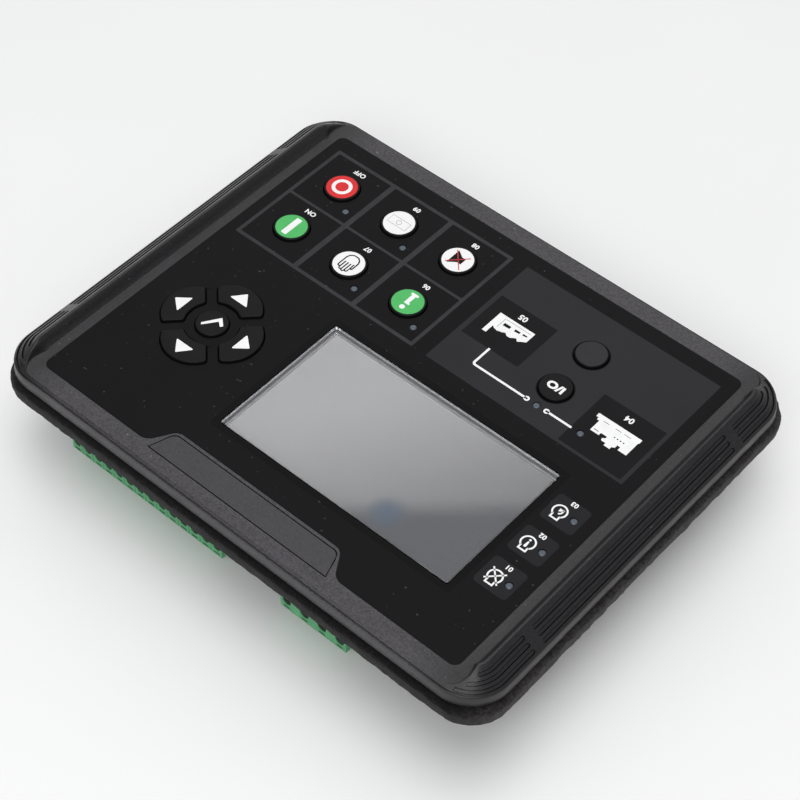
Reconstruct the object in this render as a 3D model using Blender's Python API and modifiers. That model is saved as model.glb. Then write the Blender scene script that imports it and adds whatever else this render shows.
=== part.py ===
# Genset controller: a flush-mounted control panel with a moulded front, key pad, display and rear terminals.
# The face points to +Z, +Y is the panel's upright direction, and the rear face stands on z = 0.
import math

import bmesh
import bpy
from mathutils import Matrix, Vector

# Overall body, in metres
bezel_width = 0.209
bezel_height = 0.1642
bezel_corner = 0.015
body_depth = 0.0395
rim_depth = 0.0054
flange_depth = 0.0020
flange_inset = 0.0020

# Clearances
seam = 0.0003
slip = 0.0005

# Raised side wings of the front
wing_offset = 0.0083
wing_slope = 0.769
wing_drop = 0.0019
wing_foot = 0.0034
shoulder_offset = 0.0020
shoulder_drop = 0.0007
wall_draft = 0.00025
edge_round = 0.00045
wing_fade_start = 30.0
wing_fade_end = 92.0
corner_stations = 8

# Grip grooves on the wings
groove_radius = 0.00065
groove_offset = 0.0018
groove_pitch = 0.00205
groove_ends = (70.0, 54.0, 34.0)
groove_tail = 0.0178
groove_break = 0.0040
groove_turn = 15.0

# Overlay film and its notch round the badge
film_border = 0.0155
film_band = 0.00855
film_width = bezel_width - 2 * film_border
film_height = bezel_height - 2 * film_band
film_corner = 0.0025
film_thickness = 0.0005
notch_top = 0.0412
notch_bottom = 0.0354
notch_depth = 0.00945
notch_corner = 0.0045

# Badge plate
badge_top = 0.0382
badge_bottom = 0.0352
badge_height = 0.0090
badge_rise = 0.00145
badge_corner = 0.0030
badge_thickness = 0.0010

# Deck under the film
deck_thickness = 0.0025

# Display
window_left = 0.0209
window_right = 0.0603
window_above = 0.02075
window_below = 0.06995
window_corner = 0.0008
lens_thickness = 0.0026
lens_chamfer = 0.00045
glass_margin = 0.0018
glass_depth = 0.0034
frame_border = 0.0036

# Keys
key_rise = 0.0009
key_travel = 0.0006
key_gap = 0.00045
key_round = 0.0004
key_flange = 0.0010
key_flange_reach = 0.0008
key_rest = 0.00015
round_steps = 20
mode_well = 0.0069
mimic_well = 0.0062
enter_well = 0.00615
key_side = 0.0180
key_foot = 0.02015
key_column_pitch = 0.0270
key_row_pitch = 0.0264
mimic_side = 0.0448
breaker_foot = 0.04295
blank_foot = 0.02365

# Arrow pad
pad_side = 0.0291
pad_drop = 0.0005
arrow_outer = 0.01215
arrow_centre = 0.0080
arrow_inner = 0.0093
arrow_side = 0.00166
arrow_corner = 0.0014

# Light pipes
pipe_radius = 0.00125
pipe_clear = 0.00015
pipe_collar = 0.0020

# Key mat and boards
mat_thickness = 0.0010
dome_height = 0.0010
dome_radius = 0.0046
dome_hollow = 0.0034
dome_roof = 0.0006
mat_edge = 0.0010
mat_reach = 0.0170
board_thickness = 0.0016
board_space = 0.0022
chip_size = 0.0018
chip_height = 0.0005
switch_radius = 0.0026
switch_height = 0.0004

# Gasket
gasket_proud = 0.0016
gasket_tuck = 0.0005
gasket_thickness = 0.0055
gasket_round = 0.0010

# Rear case
case_side = 0.0120
case_end = 0.0121
case_corner = 0.0040
case_wall = 0.0022
waist_gap = 0.0064
case_waist_corner = 0.0030
ledge_depth = 0.0200
case_edge = 0.0012
clip_slot_length = 0.0160
clip_slot_width = 0.0036
clip_slot_depth = 0.0012
clip_slot_inset = 0.0220
clip_slot_z = 0.0160
gusset_thickness = 0.0020
gusset_reach = 0.0070
gusset_drop = 0.0090

# Fasteners
screw_shank = 0.00125
screw_head = 0.00275
screw_head_height = 0.0019
screw_hole = 0.00165
screw_bite = 0.0020
boss_radius = 0.0030
boss_length = 0.0057
boss_inset = 0.0032
post_radius = 0.0028
post_side = 0.0068
post_end = 0.0080
side_post_y = 0.0030
pipe_post_rise = 0.0077
top_post_shift = -0.00029
bottom_post_shift = 0.00158

# Terminals
small_pitch = 0.00508
large_pitch = 0.00762
row_inset = 0.0075
header_width = 0.0086
header_wall = 0.0010
header_height = 0.0120
header_floor = 0.0020
plug_width = 0.0156
plug_height = 0.01035
plug_nose = 0.0092
plug_inner_step = 0.0041
plug_end = 0.00015
large_plug_extra = 0.0003
large_plug_end = 0.0011
screw_well = 0.0016
screw_well_depth = 0.0040
screw_well_height = 0.0042
wire_entry = 0.0038
wire_entry_depth = 0.0070
wire_entry_y = 0.0030
index_slot_width = 0.0026
index_slot_height = 0.0007
index_slot_place = 0.0011
top_small_side = 0.0478
bottom_small_side = 0.0455
top_large_x = -0.0315
bottom_middle_x = -0.0320

# Parts on the main board
relay_width = 0.0190
relay_depth = 0.0150
relay_height = 0.0155
relay_x = 0.0300
relay_pitch = 0.0220
relay_round = 0.0006
can_radius = 0.0063
can_height = 0.0146
can_rim = 0.0006
can_x = -0.0100
can_y = 0.0200
buzzer_radius = 0.0060
buzzer_height = 0.0070
buzzer_hole = 0.0020
buzzer_x = -0.0550
buzzer_y = -0.0200
link_length = 0.0400
link_width = 0.0050
link_y = -0.0400

# Places on the face, from the edges of the film
window_width = film_width - window_left - window_right
window_height = film_height - window_above - window_below
window_x = (window_left - window_right) / 2
window_y = (window_below - window_above) / 2
pad_x = film_width / 2 - pad_side
pad_y = window_y - pad_drop
key_column = film_width / 2 - key_side - key_column_pitch
key_row = -film_height / 2 + key_foot + key_row_pitch
key_left = key_column - key_column_pitch
key_right = key_column + key_column_pitch
key_low = key_row - key_row_pitch
mimic_key_x = -film_width / 2 + mimic_side
breaker_key_y = -film_height / 2 + breaker_foot
blank_key_y = -film_height / 2 + blank_foot
mat_top = key_row + mat_reach
groove_middle = bezel_height / 2 - bezel_corner - groove_tail
pipe_places = {
    "alarm": (-film_width / 2 + 0.0066, window_y + 0.0159),
    "warning": (-film_width / 2 + 0.0067, window_y - 0.0004),
    "running": (-film_width / 2 + 0.0068, window_y - 0.0164),
    "generator": (-film_width / 2 + 0.0271, breaker_key_y + 0.0095),
    "breaker": (mimic_key_x + 0.0003, breaker_key_y + 0.0097),
    "info": (key_left - 0.0084, key_row + 0.0069),
    "manual": (key_column - 0.0086, key_row + 0.0069),
    "auto": (key_column - 0.0083, key_low + 0.0076),
    "stop": (key_right - 0.0085, key_low + 0.0076),
}

# Places in the case, from its sides
case_width = bezel_width - 2 * case_side
case_height = bezel_height - 2 * case_end
row_y = case_height / 2 - row_inset
case_waist = 2 * (row_y - plug_inner_step - waist_gap)
clip_slot_y = case_waist / 2 - clip_slot_inset
terminals = (
    ("top_small", 14, small_pitch, case_width / 2 - top_small_side, 1),
    ("top_large", 4, large_pitch, top_large_x, 1),
    ("bottom_small", 12, small_pitch, case_width / 2 - bottom_small_side, -1),
    ("bottom_middle", 8, small_pitch, bottom_middle_x, -1),
)
top_gap = (case_width / 2 - top_small_side - 7 * small_pitch + top_large_x + 2 * large_pitch) / 2
bottom_gap = (case_width / 2 - bottom_small_side - 6 * small_pitch + bottom_middle_x + 4 * small_pitch) / 2
post_places = (
    (case_width / 2 - post_side, side_post_y),
    (-case_width / 2 + post_side, window_y + pipe_post_rise),
    (top_gap + top_post_shift, case_height / 2 - post_end),
    (bottom_gap + bottom_post_shift, -case_height / 2 + post_end - 0.0002),
)

# Heights that follow from the sizes above
face_z = body_depth
deck_top = face_z - film_thickness - seam
deck_bottom = deck_top - deck_thickness
collar_top = deck_bottom - seam
flange_low = collar_top - key_flange
dome_top = flange_low - key_travel - key_rest
sheet_top = dome_top - dome_height
sheet_bottom = sheet_top - mat_thickness
key_board_top = sheet_bottom - seam
key_board_bottom = key_board_top - board_thickness
main_board_top = key_board_bottom - board_space
main_board_bottom = main_board_top - board_thickness
header_base = main_board_bottom - seam
header_rim = header_base - header_height
plug_front = header_rim - seam
plug_rear = plug_front - plug_height
rim_z = face_z - rim_depth
flange_z = rim_z - flange_depth
gasket_front = flange_z - seam
gasket_rear = gasket_front - gasket_thickness
ledge_z = face_z - ledge_depth
overshoot = 0.001


# Scene and materials

def clear_scene():
    for old in list(bpy.data.objects):
        bpy.data.objects.remove(old, do_unlink=True)


def new_collection(name, parent=None):
    group = bpy.data.collections.new(name)
    (parent or bpy.context.scene.collection).children.link(group)
    return group


def new_material(name, colour, roughness, metallic=0.0):
    material = bpy.data.materials.new(name)
    material.use_nodes = True
    shader = material.node_tree.nodes["Principled BSDF"]
    shader.inputs["Base Color"].default_value = (*colour, 1.0)
    shader.inputs["Roughness"].default_value = roughness
    shader.inputs["Metallic"].default_value = metallic
    return material


clear_scene()
parts = new_collection("genset_controller")
cutters = new_collection("cutters")
booleans = []
charcoal = new_material("charcoal_plastic", (0.055, 0.055, 0.062), 0.55)
film_black = new_material("overlay_film", (0.022, 0.022, 0.026), 0.45)
key_black = new_material("key_black", (0.020, 0.020, 0.023), 0.5)
key_green = new_material("key_green", (0.10, 0.46, 0.13), 0.45)
key_red = new_material("key_red", (0.75, 0.06, 0.06), 0.45)
key_white = new_material("key_white", (0.86, 0.86, 0.84), 0.45)
key_grey = new_material("key_grey", (0.075, 0.075, 0.08), 0.5)
clear_plastic = new_material("clear_plastic", (0.75, 0.78, 0.80), 0.08)
pipe_blue = new_material("light_pipe", (0.13, 0.17, 0.22), 0.2)
silicone = new_material("silicone", (0.16, 0.16, 0.17), 0.7)
foam = new_material("gasket_foam", (0.022, 0.022, 0.024), 0.9)
case_black = new_material("case_plastic", (0.030, 0.030, 0.033), 0.6)
board_green = new_material("circuit_board", (0.02, 0.13, 0.06), 0.5)
steel = new_material("steel", (0.55, 0.56, 0.58), 0.35, 1.0)
lcd_grey = new_material("display_glass", (0.36, 0.36, 0.36), 0.12)
terminal_green = new_material("terminal_green", (0.12, 0.44, 0.23), 0.5)
relay_black = new_material("relay_case", (0.03, 0.03, 0.035), 0.45)
can_metal = new_material("can_aluminium", (0.7, 0.71, 0.73), 0.3, 1.0)


# Outlines, as lists of (x, y) points that run anticlockwise

def arc(x, y, radius, start, end, steps):
    points = []
    for step in range(steps + 1):
        angle = start + (end - start) * step / steps
        points.append((x + radius * math.cos(angle), y + radius * math.sin(angle)))
    return points


def circle(x, y, radius, steps):
    return arc(x, y, radius, 0.0, 2 * math.pi, steps)[:-1]


def rounded_polygon(corners, radii, steps=4):
    points = []
    count = len(corners)
    for index, (corner, radius) in enumerate(zip(corners, radii)):
        here = Vector(corner)
        back = (Vector(corners[index - 1]) - here).normalized()
        ahead = (Vector(corners[(index + 1) % count]) - here).normalized()
        half = back.angle(ahead) / 2
        if radius <= 0.0:
            points.append(corner)
            continue
        middle = here + (back + ahead).normalized() * (radius / math.sin(half))
        start = here + back * (radius / math.tan(half)) - middle
        end = here + ahead * (radius / math.tan(half)) - middle
        first = math.atan2(start.y, start.x)
        turn = math.atan2(start.x * end.y - start.y * end.x, start.dot(end))
        points += arc(middle.x, middle.y, radius, first, first + turn, steps)
    return points


def rectangle(x, y, width, height, radius=0.0, steps=4):
    corners = [(x - width / 2, y - height / 2), (x + width / 2, y - height / 2),
               (x + width / 2, y + height / 2), (x - width / 2, y + height / 2)]
    return rounded_polygon(corners, [radius] * 4, steps)


def film_outline(grow=0.0):
    half_x = film_width / 2 + grow
    half_y = film_height / 2 + grow
    shift = grow * math.tan(math.atan2(notch_depth, notch_top - notch_bottom) / 2)
    corners = [(-half_x, -half_y), (half_x, -half_y), (half_x, half_y)]
    radii = [film_corner + grow] * 3
    corners += [(notch_top - shift, half_y), (notch_bottom - shift, half_y - notch_depth)]
    radii += [notch_corner + grow, notch_corner - grow]
    corners += [(-notch_bottom + shift, half_y - notch_depth), (-notch_top + shift, half_y)]
    radii += [notch_corner - grow, notch_corner + grow]
    corners.append((-half_x, half_y))
    radii.append(film_corner + grow)
    return rounded_polygon(corners, radii)


def badge_outline(grow=0.0):
    high = film_height / 2 + badge_rise + grow
    low = high - badge_height - 2 * grow
    corners = [(-badge_bottom - grow, low), (badge_bottom + grow, low),
               (badge_top + grow, high), (-badge_top - grow, high)]
    return rounded_polygon(corners, [badge_corner, badge_corner, 0.0, 0.0])


def along_line(start, direction, middle, radius, sign):
    gap = start - middle
    half = gap.dot(direction)
    root = math.sqrt(half * half - gap.dot(gap) + radius * radius)
    return start + direction * (sign * root - half)


def arrow_outline(inset):
    """Segment of a ring with 45 degree sides, pointing to +Y about the pad's centre."""
    outer = arrow_outer - inset
    inner = arrow_inner + inset
    fillet = max(arrow_corner - inset, arrow_corner / 3)
    crown = Vector((0.0, arrow_centre))
    pad = Vector((0.0, 0.0))
    side = Vector((1.0, 1.0)).normalized()
    normal = Vector((-1.0, 1.0)).normalized()
    offset = normal * (arrow_side + inset + fillet)
    high = along_line(offset, side, crown, outer - fillet, 1)
    low = along_line(offset, side, pad, inner + fillet, 1)
    square = math.radians(-45.0)
    top = math.atan2(high.y - crown.y, high.x - crown.x)
    foot = math.atan2(-low.y, -low.x)
    right = arc(low.x, low.y, fillet, foot, square, 2)
    right += arc(high.x, high.y, fillet, square, top, 2)
    crest = arc(0.0, arrow_centre, outer, top, math.pi - top, 6)[1:-1]
    left = [(-x, y) for x, y in reversed(right)]
    start = math.atan2(low.y, low.x)
    hollow = arc(0.0, 0.0, inner, math.pi - start, start, 4)[1:-1]
    return right + crest + left + hollow


def turned_outline(points, turns, x, y):
    angle = turns * math.pi / 2
    cosine, sine = math.cos(angle), math.sin(angle)
    return [(x + px * cosine - py * sine, y + px * sine + py * cosine) for px, py in points]


# Solids

def add_object(name, mesh, group, material=None):
    obj = bpy.data.objects.new(name, mesh)
    group.objects.link(obj)
    if group.name != parts.name:
        obj.hide_render = True
        obj.display_type = "WIRE"
    if material:
        mesh.materials.clear()
        mesh.materials.append(material)
    return obj


def close_mesh(mesh):
    work = bmesh.new()
    work.from_mesh(mesh)
    bmesh.ops.remove_doubles(work, verts=work.verts, dist=0.000001)
    bmesh.ops.dissolve_degenerate(work, edges=work.edges, dist=0.0000001)
    bmesh.ops.recalc_face_normals(work, faces=work.faces)
    work.to_mesh(mesh)
    work.free()


def plate(name, loops, low, high, group, material=None):
    """Flat outline with holes, filled and thickened between two heights."""
    curve = bpy.data.curves.new(name + "_outline", "CURVE")
    curve.dimensions = "2D"
    curve.fill_mode = "BOTH"
    curve.extrude = (high - low) / 2
    for loop in loops:
        spline = curve.splines.new("POLY")
        spline.points.add(len(loop) - 1)
        for point, (x, y) in zip(spline.points, loop):
            point.co = (x, y, 0.0, 1.0)
        spline.use_cyclic_u = True
    sketch = bpy.data.objects.new(name + "_sketch", curve)
    bpy.context.scene.collection.objects.link(sketch)
    sketch.location.z = (low + high) / 2
    bpy.context.view_layer.update()
    solid = bpy.data.meshes.new_from_object(sketch.evaluated_get(bpy.context.evaluated_depsgraph_get()))
    solid.transform(sketch.matrix_world)
    bpy.data.objects.remove(sketch, do_unlink=True)
    bpy.data.curves.remove(curve)
    solid.name = name
    close_mesh(solid)
    return add_object(name, solid, group, material)


def soften_rim(obj, height, width, segments=2):
    """Rounds the edges of a prism that lie at one height."""
    work = bmesh.new()
    work.from_mesh(obj.data)
    near = 0.000002
    rim = [edge for edge in work.edges
           if all(abs(vert.co.z - height) < near for vert in edge.verts)
           and edge.calc_face_angle(0.0) > math.radians(30.0)]
    bmesh.ops.bevel(work, geom=rim, offset=width, segments=segments, profile=0.5, affect="EDGES")
    work.to_mesh(obj.data)
    work.free()


def box(name, low, high, group, material=None):
    work = bmesh.new()
    bmesh.ops.create_cube(work, size=1.0)
    middle = (Vector(low) + Vector(high)) / 2
    span = Vector(high) - Vector(low)
    bmesh.ops.transform(work, verts=work.verts, matrix=Matrix.Translation(middle) @ Matrix.Diagonal((*span, 1.0)))
    mesh = bpy.data.meshes.new(name)
    work.to_mesh(mesh)
    work.free()
    return add_object(name, mesh, group, material)


def rod(name, start, end, radius, group, end_radius=None, steps=16):
    """Cylinder or cone between two points."""
    start, end = Vector(start), Vector(end)
    work = bmesh.new()
    bmesh.ops.create_cone(work, cap_ends=True, segments=steps, radius1=radius,
                          radius2=radius if end_radius is None else end_radius, depth=(end - start).length)
    turn = (end - start).to_track_quat("Z", "Y").to_matrix().to_4x4()
    bmesh.ops.transform(work, verts=work.verts, matrix=Matrix.Translation((start + end) / 2) @ turn)
    mesh = bpy.data.meshes.new(name)
    work.to_mesh(mesh)
    work.free()
    return add_object(name, mesh, group)


def turned(name, profile, place, material, steps=10, closed=False):
    """Profile of (radius, height) points, listed down its outer side, spun about Z."""
    mesh = bpy.data.meshes.new(name)
    count = len(profile)
    edges = [(index, index + 1) for index in range(count - 1)]
    if closed:
        edges.append((count - 1, 0))
    mesh.from_pydata([(radius, 0.0, height) for radius, height in profile], edges, [])
    obj = add_object(name, mesh, parts, material)
    obj.location = (*place, 0.0)
    spin = obj.modifiers.new("spin", "SCREW")
    spin.axis = "Z"
    spin.steps = steps
    spin.render_steps = steps
    spin.use_merge_vertices = True
    spin.merge_threshold = 0.00001
    return obj


def loft(name, rings, group, material=None):
    """Closed body through rings of as many points each, with flat ends."""
    work = bmesh.new()
    rows = [[work.verts.new(point) for point in ring] for ring in rings]
    for low, high in zip(rows, rows[1:]):
        for index in range(len(low)):
            after = (index + 1) % len(low)
            work.faces.new((low[index], low[after], high[after], high[index]))
    work.faces.new(list(reversed(rows[0])))
    work.faces.new(rows[-1])
    bmesh.ops.recalc_face_normals(work, faces=work.faces)
    mesh = bpy.data.meshes.new(name)
    work.to_mesh(mesh)
    work.free()
    return add_object(name, mesh, group, material)


def combine(obj, group, operation):
    """Notes a Boolean, which is added once every outline has been filled."""
    booleans.append((obj, group, operation))


def add_booleans():
    for obj, group, operation in booleans:
        step = obj.modifiers.new(operation.lower() + "_" + group.name, "BOOLEAN")
        step.operation = operation
        step.operand_type = "COLLECTION"
        step.collection = group
        step.solver = "EXACT"


def smooth(obj, angle=35.0):
    obj.data.shade_smooth()
    obj.data.set_sharp_from_angle(angle=math.radians(angle))


# Face layout

def round_keys():
    keys = {}
    for name, x, y in (("info_key", key_left, key_row), ("manual_key", key_column, key_row),
                       ("start_key", key_right, key_row), ("mute_key", key_left, key_low),
                       ("auto_key", key_column, key_low), ("stop_key", key_right, key_low)):
        keys[name] = (x, y, mode_well)
    keys["breaker_key"] = (mimic_key_x, breaker_key_y, mimic_well)
    keys["blank_key"] = (mimic_key_x, blank_key_y, mimic_well)
    keys["enter_key"] = (pad_x, pad_y, enter_well)
    return keys


def arrow_keys():
    return {"up_key": 0, "left_key": 1, "down_key": 2, "right_key": 3}


def dome_places():
    places = [(x, y) for x, y, well in round_keys().values()]
    reach = (arrow_inner + arrow_centre + arrow_outer) / 2
    places += turned_outline([(0.0, reach)], 0, pad_x, pad_y)
    places += turned_outline([(0.0, reach)], 1, pad_x, pad_y)
    places += turned_outline([(0.0, reach)], 2, pad_x, pad_y)
    places += turned_outline([(0.0, reach)], 3, pad_x, pad_y)
    return places


def well_loops():
    loops = [circle(x, y, well, round_steps) for x, y, well in round_keys().values()]
    loops += [turned_outline(arrow_outline(0.0), turns, pad_x, pad_y) for turns in arrow_keys().values()]
    return loops


def window_loop(grow=0.0):
    return rectangle(window_x, window_y, window_width + 2 * grow, window_height + 2 * grow, window_corner, 2)


def boss_places():
    x = case_width / 2 - case_wall - boss_radius - slip - (boss_inset - boss_radius)
    y = case_height / 2 - case_wall - boss_radius - slip - (boss_inset - boss_radius)
    return [(x, y), (-x, y), (-x, -y), (x, -y)]


# Moulded front

def fade(angle):
    """1 on the sides, falling smoothly to 0 where the corner meets the top or bottom."""
    ratio = (angle - wing_fade_start) / (wing_fade_end - wing_fade_start)
    ratio = min(max(ratio, 0.0), 1.0)
    return 1.0 - ratio * ratio * (3.0 - 2.0 * ratio)


def slope_at(angle):
    """Height of the outer edge and rise per metre inward, at an angle round the corner."""
    side = fade(angle)
    edge = face_z - shoulder_drop * (1.0 - side) - wing_drop * side
    rise = wing_slope * side + shoulder_drop / shoulder_offset * (1.0 - side)
    return edge, rise


def wing_section(angle):
    """Points (inward offset, height) from the foot of the wall over the wing to the flat band."""
    side = fade(angle)
    edge, rise = slope_at(angle)
    crest = shoulder_offset + (wing_offset - shoulder_offset) * side
    height = edge + rise * crest - face_z
    run = seam + (wing_foot - seam) * height / (wing_slope * wing_offset - wing_drop)
    points = [(0.0, rim_z), (wall_draft, edge - edge_round), (edge_round + wall_draft, edge + rise * edge_round)]
    points.append((crest * 0.88, edge + rise * crest * 0.88))
    for across, up in ((0.0, 0.965), (0.16, 0.93), (0.36, 0.70), (0.60, 0.32), (0.80, 0.09), (1.0, 0.0)):
        points.append((crest + run * across, face_z + height * up))
    return points


def outline_point(quadrant, angle, inward):
    """Point on the bezel's outline, moved inward, at an angle round one corner (0 side, 90 top)."""
    across = bezel_width / 2 - bezel_corner + (bezel_corner - inward) * math.cos(math.radians(angle))
    up = bezel_height / 2 - bezel_corner + (bezel_corner - inward) * math.sin(math.radians(angle))
    return quadrant[0] * across, quadrant[1] * up


def stations():
    angles = [90.0 * step / corner_stations for step in range(corner_stations + 1)]
    for quadrant in ((1, 1), (-1, 1), (-1, -1), (1, -1)):
        forward = quadrant[0] * quadrant[1] > 0
        for angle in (angles if forward else reversed(angles)):
            yield quadrant, angle


def bezel_blank():
    """Rim, wings and band, lofted through sections that change round each corner."""
    sections = []
    for quadrant, angle in stations():
        section = [(flange_inset, flange_z), (flange_inset, rim_z)] + wing_section(angle)
        sections.append([(*outline_point(quadrant, angle, inward), height) for inward, height in section])
    return loft("front_bezel", list(zip(*sections)), parts, charcoal)


def groove(name, path, group):
    """Round-bottomed groove with rounded ends, as a tapered tube along a path."""
    curve = bpy.data.curves.new(name, "CURVE")
    curve.dimensions = "3D"
    curve.bevel_depth = groove_radius
    curve.bevel_resolution = 1
    curve.use_fill_caps = True
    spline = curve.splines.new("POLY")
    path = [Vector(point) for point in path]
    start = (path[1] - path[0]).normalized() * groove_radius
    end = (path[-1] - path[-2]).normalized() * groove_radius
    points = [path[0] - start * 0.8] + path + [path[-1] + end * 0.8]
    spline.points.add(len(points) - 1)
    sizes = [0.5] + [1.0] * (len(points) - 2) + [0.5]
    for point, place, size in zip(spline.points, points, sizes):
        point.co = (*place, 1.0)
        point.radius = size
    sketch = bpy.data.objects.new(name + "_sketch", curve)
    bpy.context.scene.collection.objects.link(sketch)
    bpy.context.view_layer.update()
    tube = bpy.data.meshes.new_from_object(sketch.evaluated_get(bpy.context.evaluated_depsgraph_get()))
    bpy.data.objects.remove(sketch, do_unlink=True)
    bpy.data.curves.remove(curve)
    close_mesh(tube)
    return add_object(name, tube, group)


def groove_point(quadrant, angle, inward):
    edge, rise = slope_at(angle)
    x, y = outline_point(quadrant, angle, inward)
    return x, y, edge + rise * inward


def cut_grooves(group):
    start = groove_middle + groove_break
    for row, last in enumerate(groove_ends):
        inward = groove_offset + row * groove_pitch
        for side in (1, -1):
            x, y, z = groove_point((side, 1), 0.0, inward)
            middle = groove_middle - groove_radius
            groove("groove_middle", [(x, -middle, z), (x, middle, z)], group)
            for end in (1, -1):
                path = [(x, end * (start + groove_radius), z)]
                steps = math.ceil(last / groove_turn)
                for step in range(steps + 1):
                    path.append(groove_point((side, end), last * step / steps, inward))
                groove("groove_end", path, group)


def cut_rim_pockets(group):
    """Cored pockets behind the rim, with cross ribs left between them."""
    wall = case_wall
    side_low = case_width / 2 + seam + wall
    side_high = bezel_width / 2 - groove_offset - groove_pitch - 0.0013
    end_low = case_height / 2 + seam + wall
    end_high = bezel_height / 2 - flange_inset - wall
    roof = 0.0024
    for length, low, high, top, upright in (
            (bezel_height - 2 * bezel_corner - 0.010, side_low, side_high, face_z - roof / 4, True),
            (bezel_width - 2 * bezel_corner - 0.010, end_low, end_high, face_z - roof, False)):
        count = math.ceil(length / 0.0205)
        pitch = length / count
        for index in range(count):
            middle = (index - (count - 1) / 2) * pitch
            half = (pitch - wall) / 2
            for side in (1, -1):
                near, far = sorted((side * low, side * high))
                if upright:
                    box("rim_pocket", (near, middle - half, flange_z - overshoot), (far, middle + half, top), group)
                else:
                    box("rim_pocket", (middle - half, near, flange_z - overshoot), (middle + half, far, top), group)


def build_bezel():
    bezel = bezel_blank()
    cuts = new_collection("bezel_cuts", cutters)
    plate("film_recess", [film_outline(seam)], deck_top, face_z + overshoot, cuts)
    plate("badge_recess", [badge_outline(seam / 2)], face_z - badge_thickness - seam, face_z + overshoot, cuts)
    pocket = rectangle(0.0, 0.0, case_width + 2 * seam, case_height + 2 * seam, case_corner + seam)
    plate("case_pocket", [pocket], flange_z - overshoot, deck_bottom, cuts)
    through = (deck_bottom - overshoot, deck_top + overshoot)
    plate("window_cut", [window_loop(seam)], *through, cuts)
    for index, loop in enumerate(well_loops()):
        plate("key_well_%d" % index, [loop], *through, cuts)
    for index, (x, y) in enumerate(pipe_places.values()):
        rod("pipe_hole_%d" % index, (x, y, through[0]), (x, y, through[1]), pipe_radius + pipe_clear, cuts, steps=10)
    cut_grooves(cuts)
    cut_rim_pockets(cuts)
    combine(bezel, cuts, "DIFFERENCE")
    posts = new_collection("bezel_posts", cutters)
    for x, y in boss_places():
        rod("screw_boss", (x, y, deck_bottom - boss_length), (x, y, deck_bottom + overshoot), boss_radius, posts,
            steps=10)
    for x, y in post_places:
        rod("board_post", (x, y, key_board_top + seam), (x, y, deck_bottom + overshoot), post_radius, posts,
            steps=10)
    combine(bezel, posts, "UNION")
    pilots = new_collection("bezel_pilots", cutters)
    for x, y in boss_places():
        low = deck_bottom - boss_length - overshoot
        rod("boss_pilot", (x, y, low), (x, y, deck_bottom + seam), screw_shank + seam, pilots, steps=8)
    for x, y in post_places:
        rod("post_pilot", (x, y, key_board_top - overshoot), (x, y, deck_bottom + seam),
            screw_shank + seam, pilots, steps=8)
    combine(bezel, pilots, "DIFFERENCE")
    smooth(bezel)
    return bezel


def build_badge():
    badge = plate("badge_plate", [badge_outline()], face_z - badge_thickness, face_z, parts, charcoal)
    soften_rim(badge, face_z, seam / 2, 1)


def build_film():
    loops = [film_outline(), window_loop()] + well_loops()
    loops += [circle(x, y, pipe_radius + pipe_clear, 10) for x, y in pipe_places.values()]
    plate("front_film", loops, face_z - film_thickness, face_z, parts, film_black)


def build_lens():
    low = face_z - seam / 6 - lens_thickness
    high = face_z - seam / 6
    lens = plate("display_lens", [window_loop(-seam)], low, high, parts, clear_plastic)
    soften_rim(lens, high, lens_chamfer, 1)


# Keys and light pipes

def build_round_keys():
    colours = {"info_key": key_green, "start_key": key_green, "stop_key": key_red,
               "manual_key": key_white, "auto_key": key_white, "mute_key": key_white,
               "breaker_key": key_black, "blank_key": key_grey, "enter_key": key_black}
    top = face_z + key_rise
    for name, (x, y, well) in round_keys().items():
        radius = well - key_gap
        reach = well + key_flange_reach
        profile = [(0.0, top), (radius - key_round, top), (radius, top - key_round), (radius, collar_top),
                   (reach, collar_top), (reach, flange_low), (0.0, flange_low)]
        smooth(turned(name, profile, (x, y), colours[name], round_steps))


def build_arrow_keys():
    top = face_z + key_rise
    levels = ((-key_flange_reach, flange_low), (-key_flange_reach, collar_top), (key_gap, collar_top),
              (key_gap, top - key_round), (key_gap + key_round, top))
    rings = [[(x, y, height) for x, y in arrow_outline(inset)] for inset, height in levels]
    for name, turns in arrow_keys().items():
        key = loft(name, rings, parts, key_black)
        key.location = (pad_x, pad_y, 0.0)
        key.rotation_euler.z = turns * math.pi / 2
        smooth(key)


def build_light_pipes():
    low = key_board_top + chip_height + seam
    collar_low = collar_top - key_flange
    top = face_z
    profile = [(0.0, top), (pipe_radius, top), (pipe_radius, collar_top), (pipe_collar, collar_top),
               (pipe_collar, collar_low), (pipe_radius, collar_low), (pipe_radius, low), (0.0, low)]
    for name, place in pipe_places.items():
        smooth(turned("light_pipe_" + name, profile, place, pipe_blue))


# Key mat, boards and display

def mat_outline():
    left = -case_width / 2 + case_wall + mat_edge
    right = post_places[0][0] - post_radius - slip
    low = -case_height / 2 + case_wall + mat_edge
    inner = window_x + window_width / 2 + frame_border + mat_edge
    high = pad_y + arrow_centre + arrow_outer + key_flange_reach + mat_edge
    corner_x = boss_places()[0][0] - boss_radius - slip
    corner_y = boss_places()[0][1] - boss_radius - slip
    return [(-corner_x, low), (right, low), (right, high), (inner, high), (inner, mat_top), (left, mat_top),
            (left, -corner_y), (-corner_x, -corner_y)]


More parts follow.
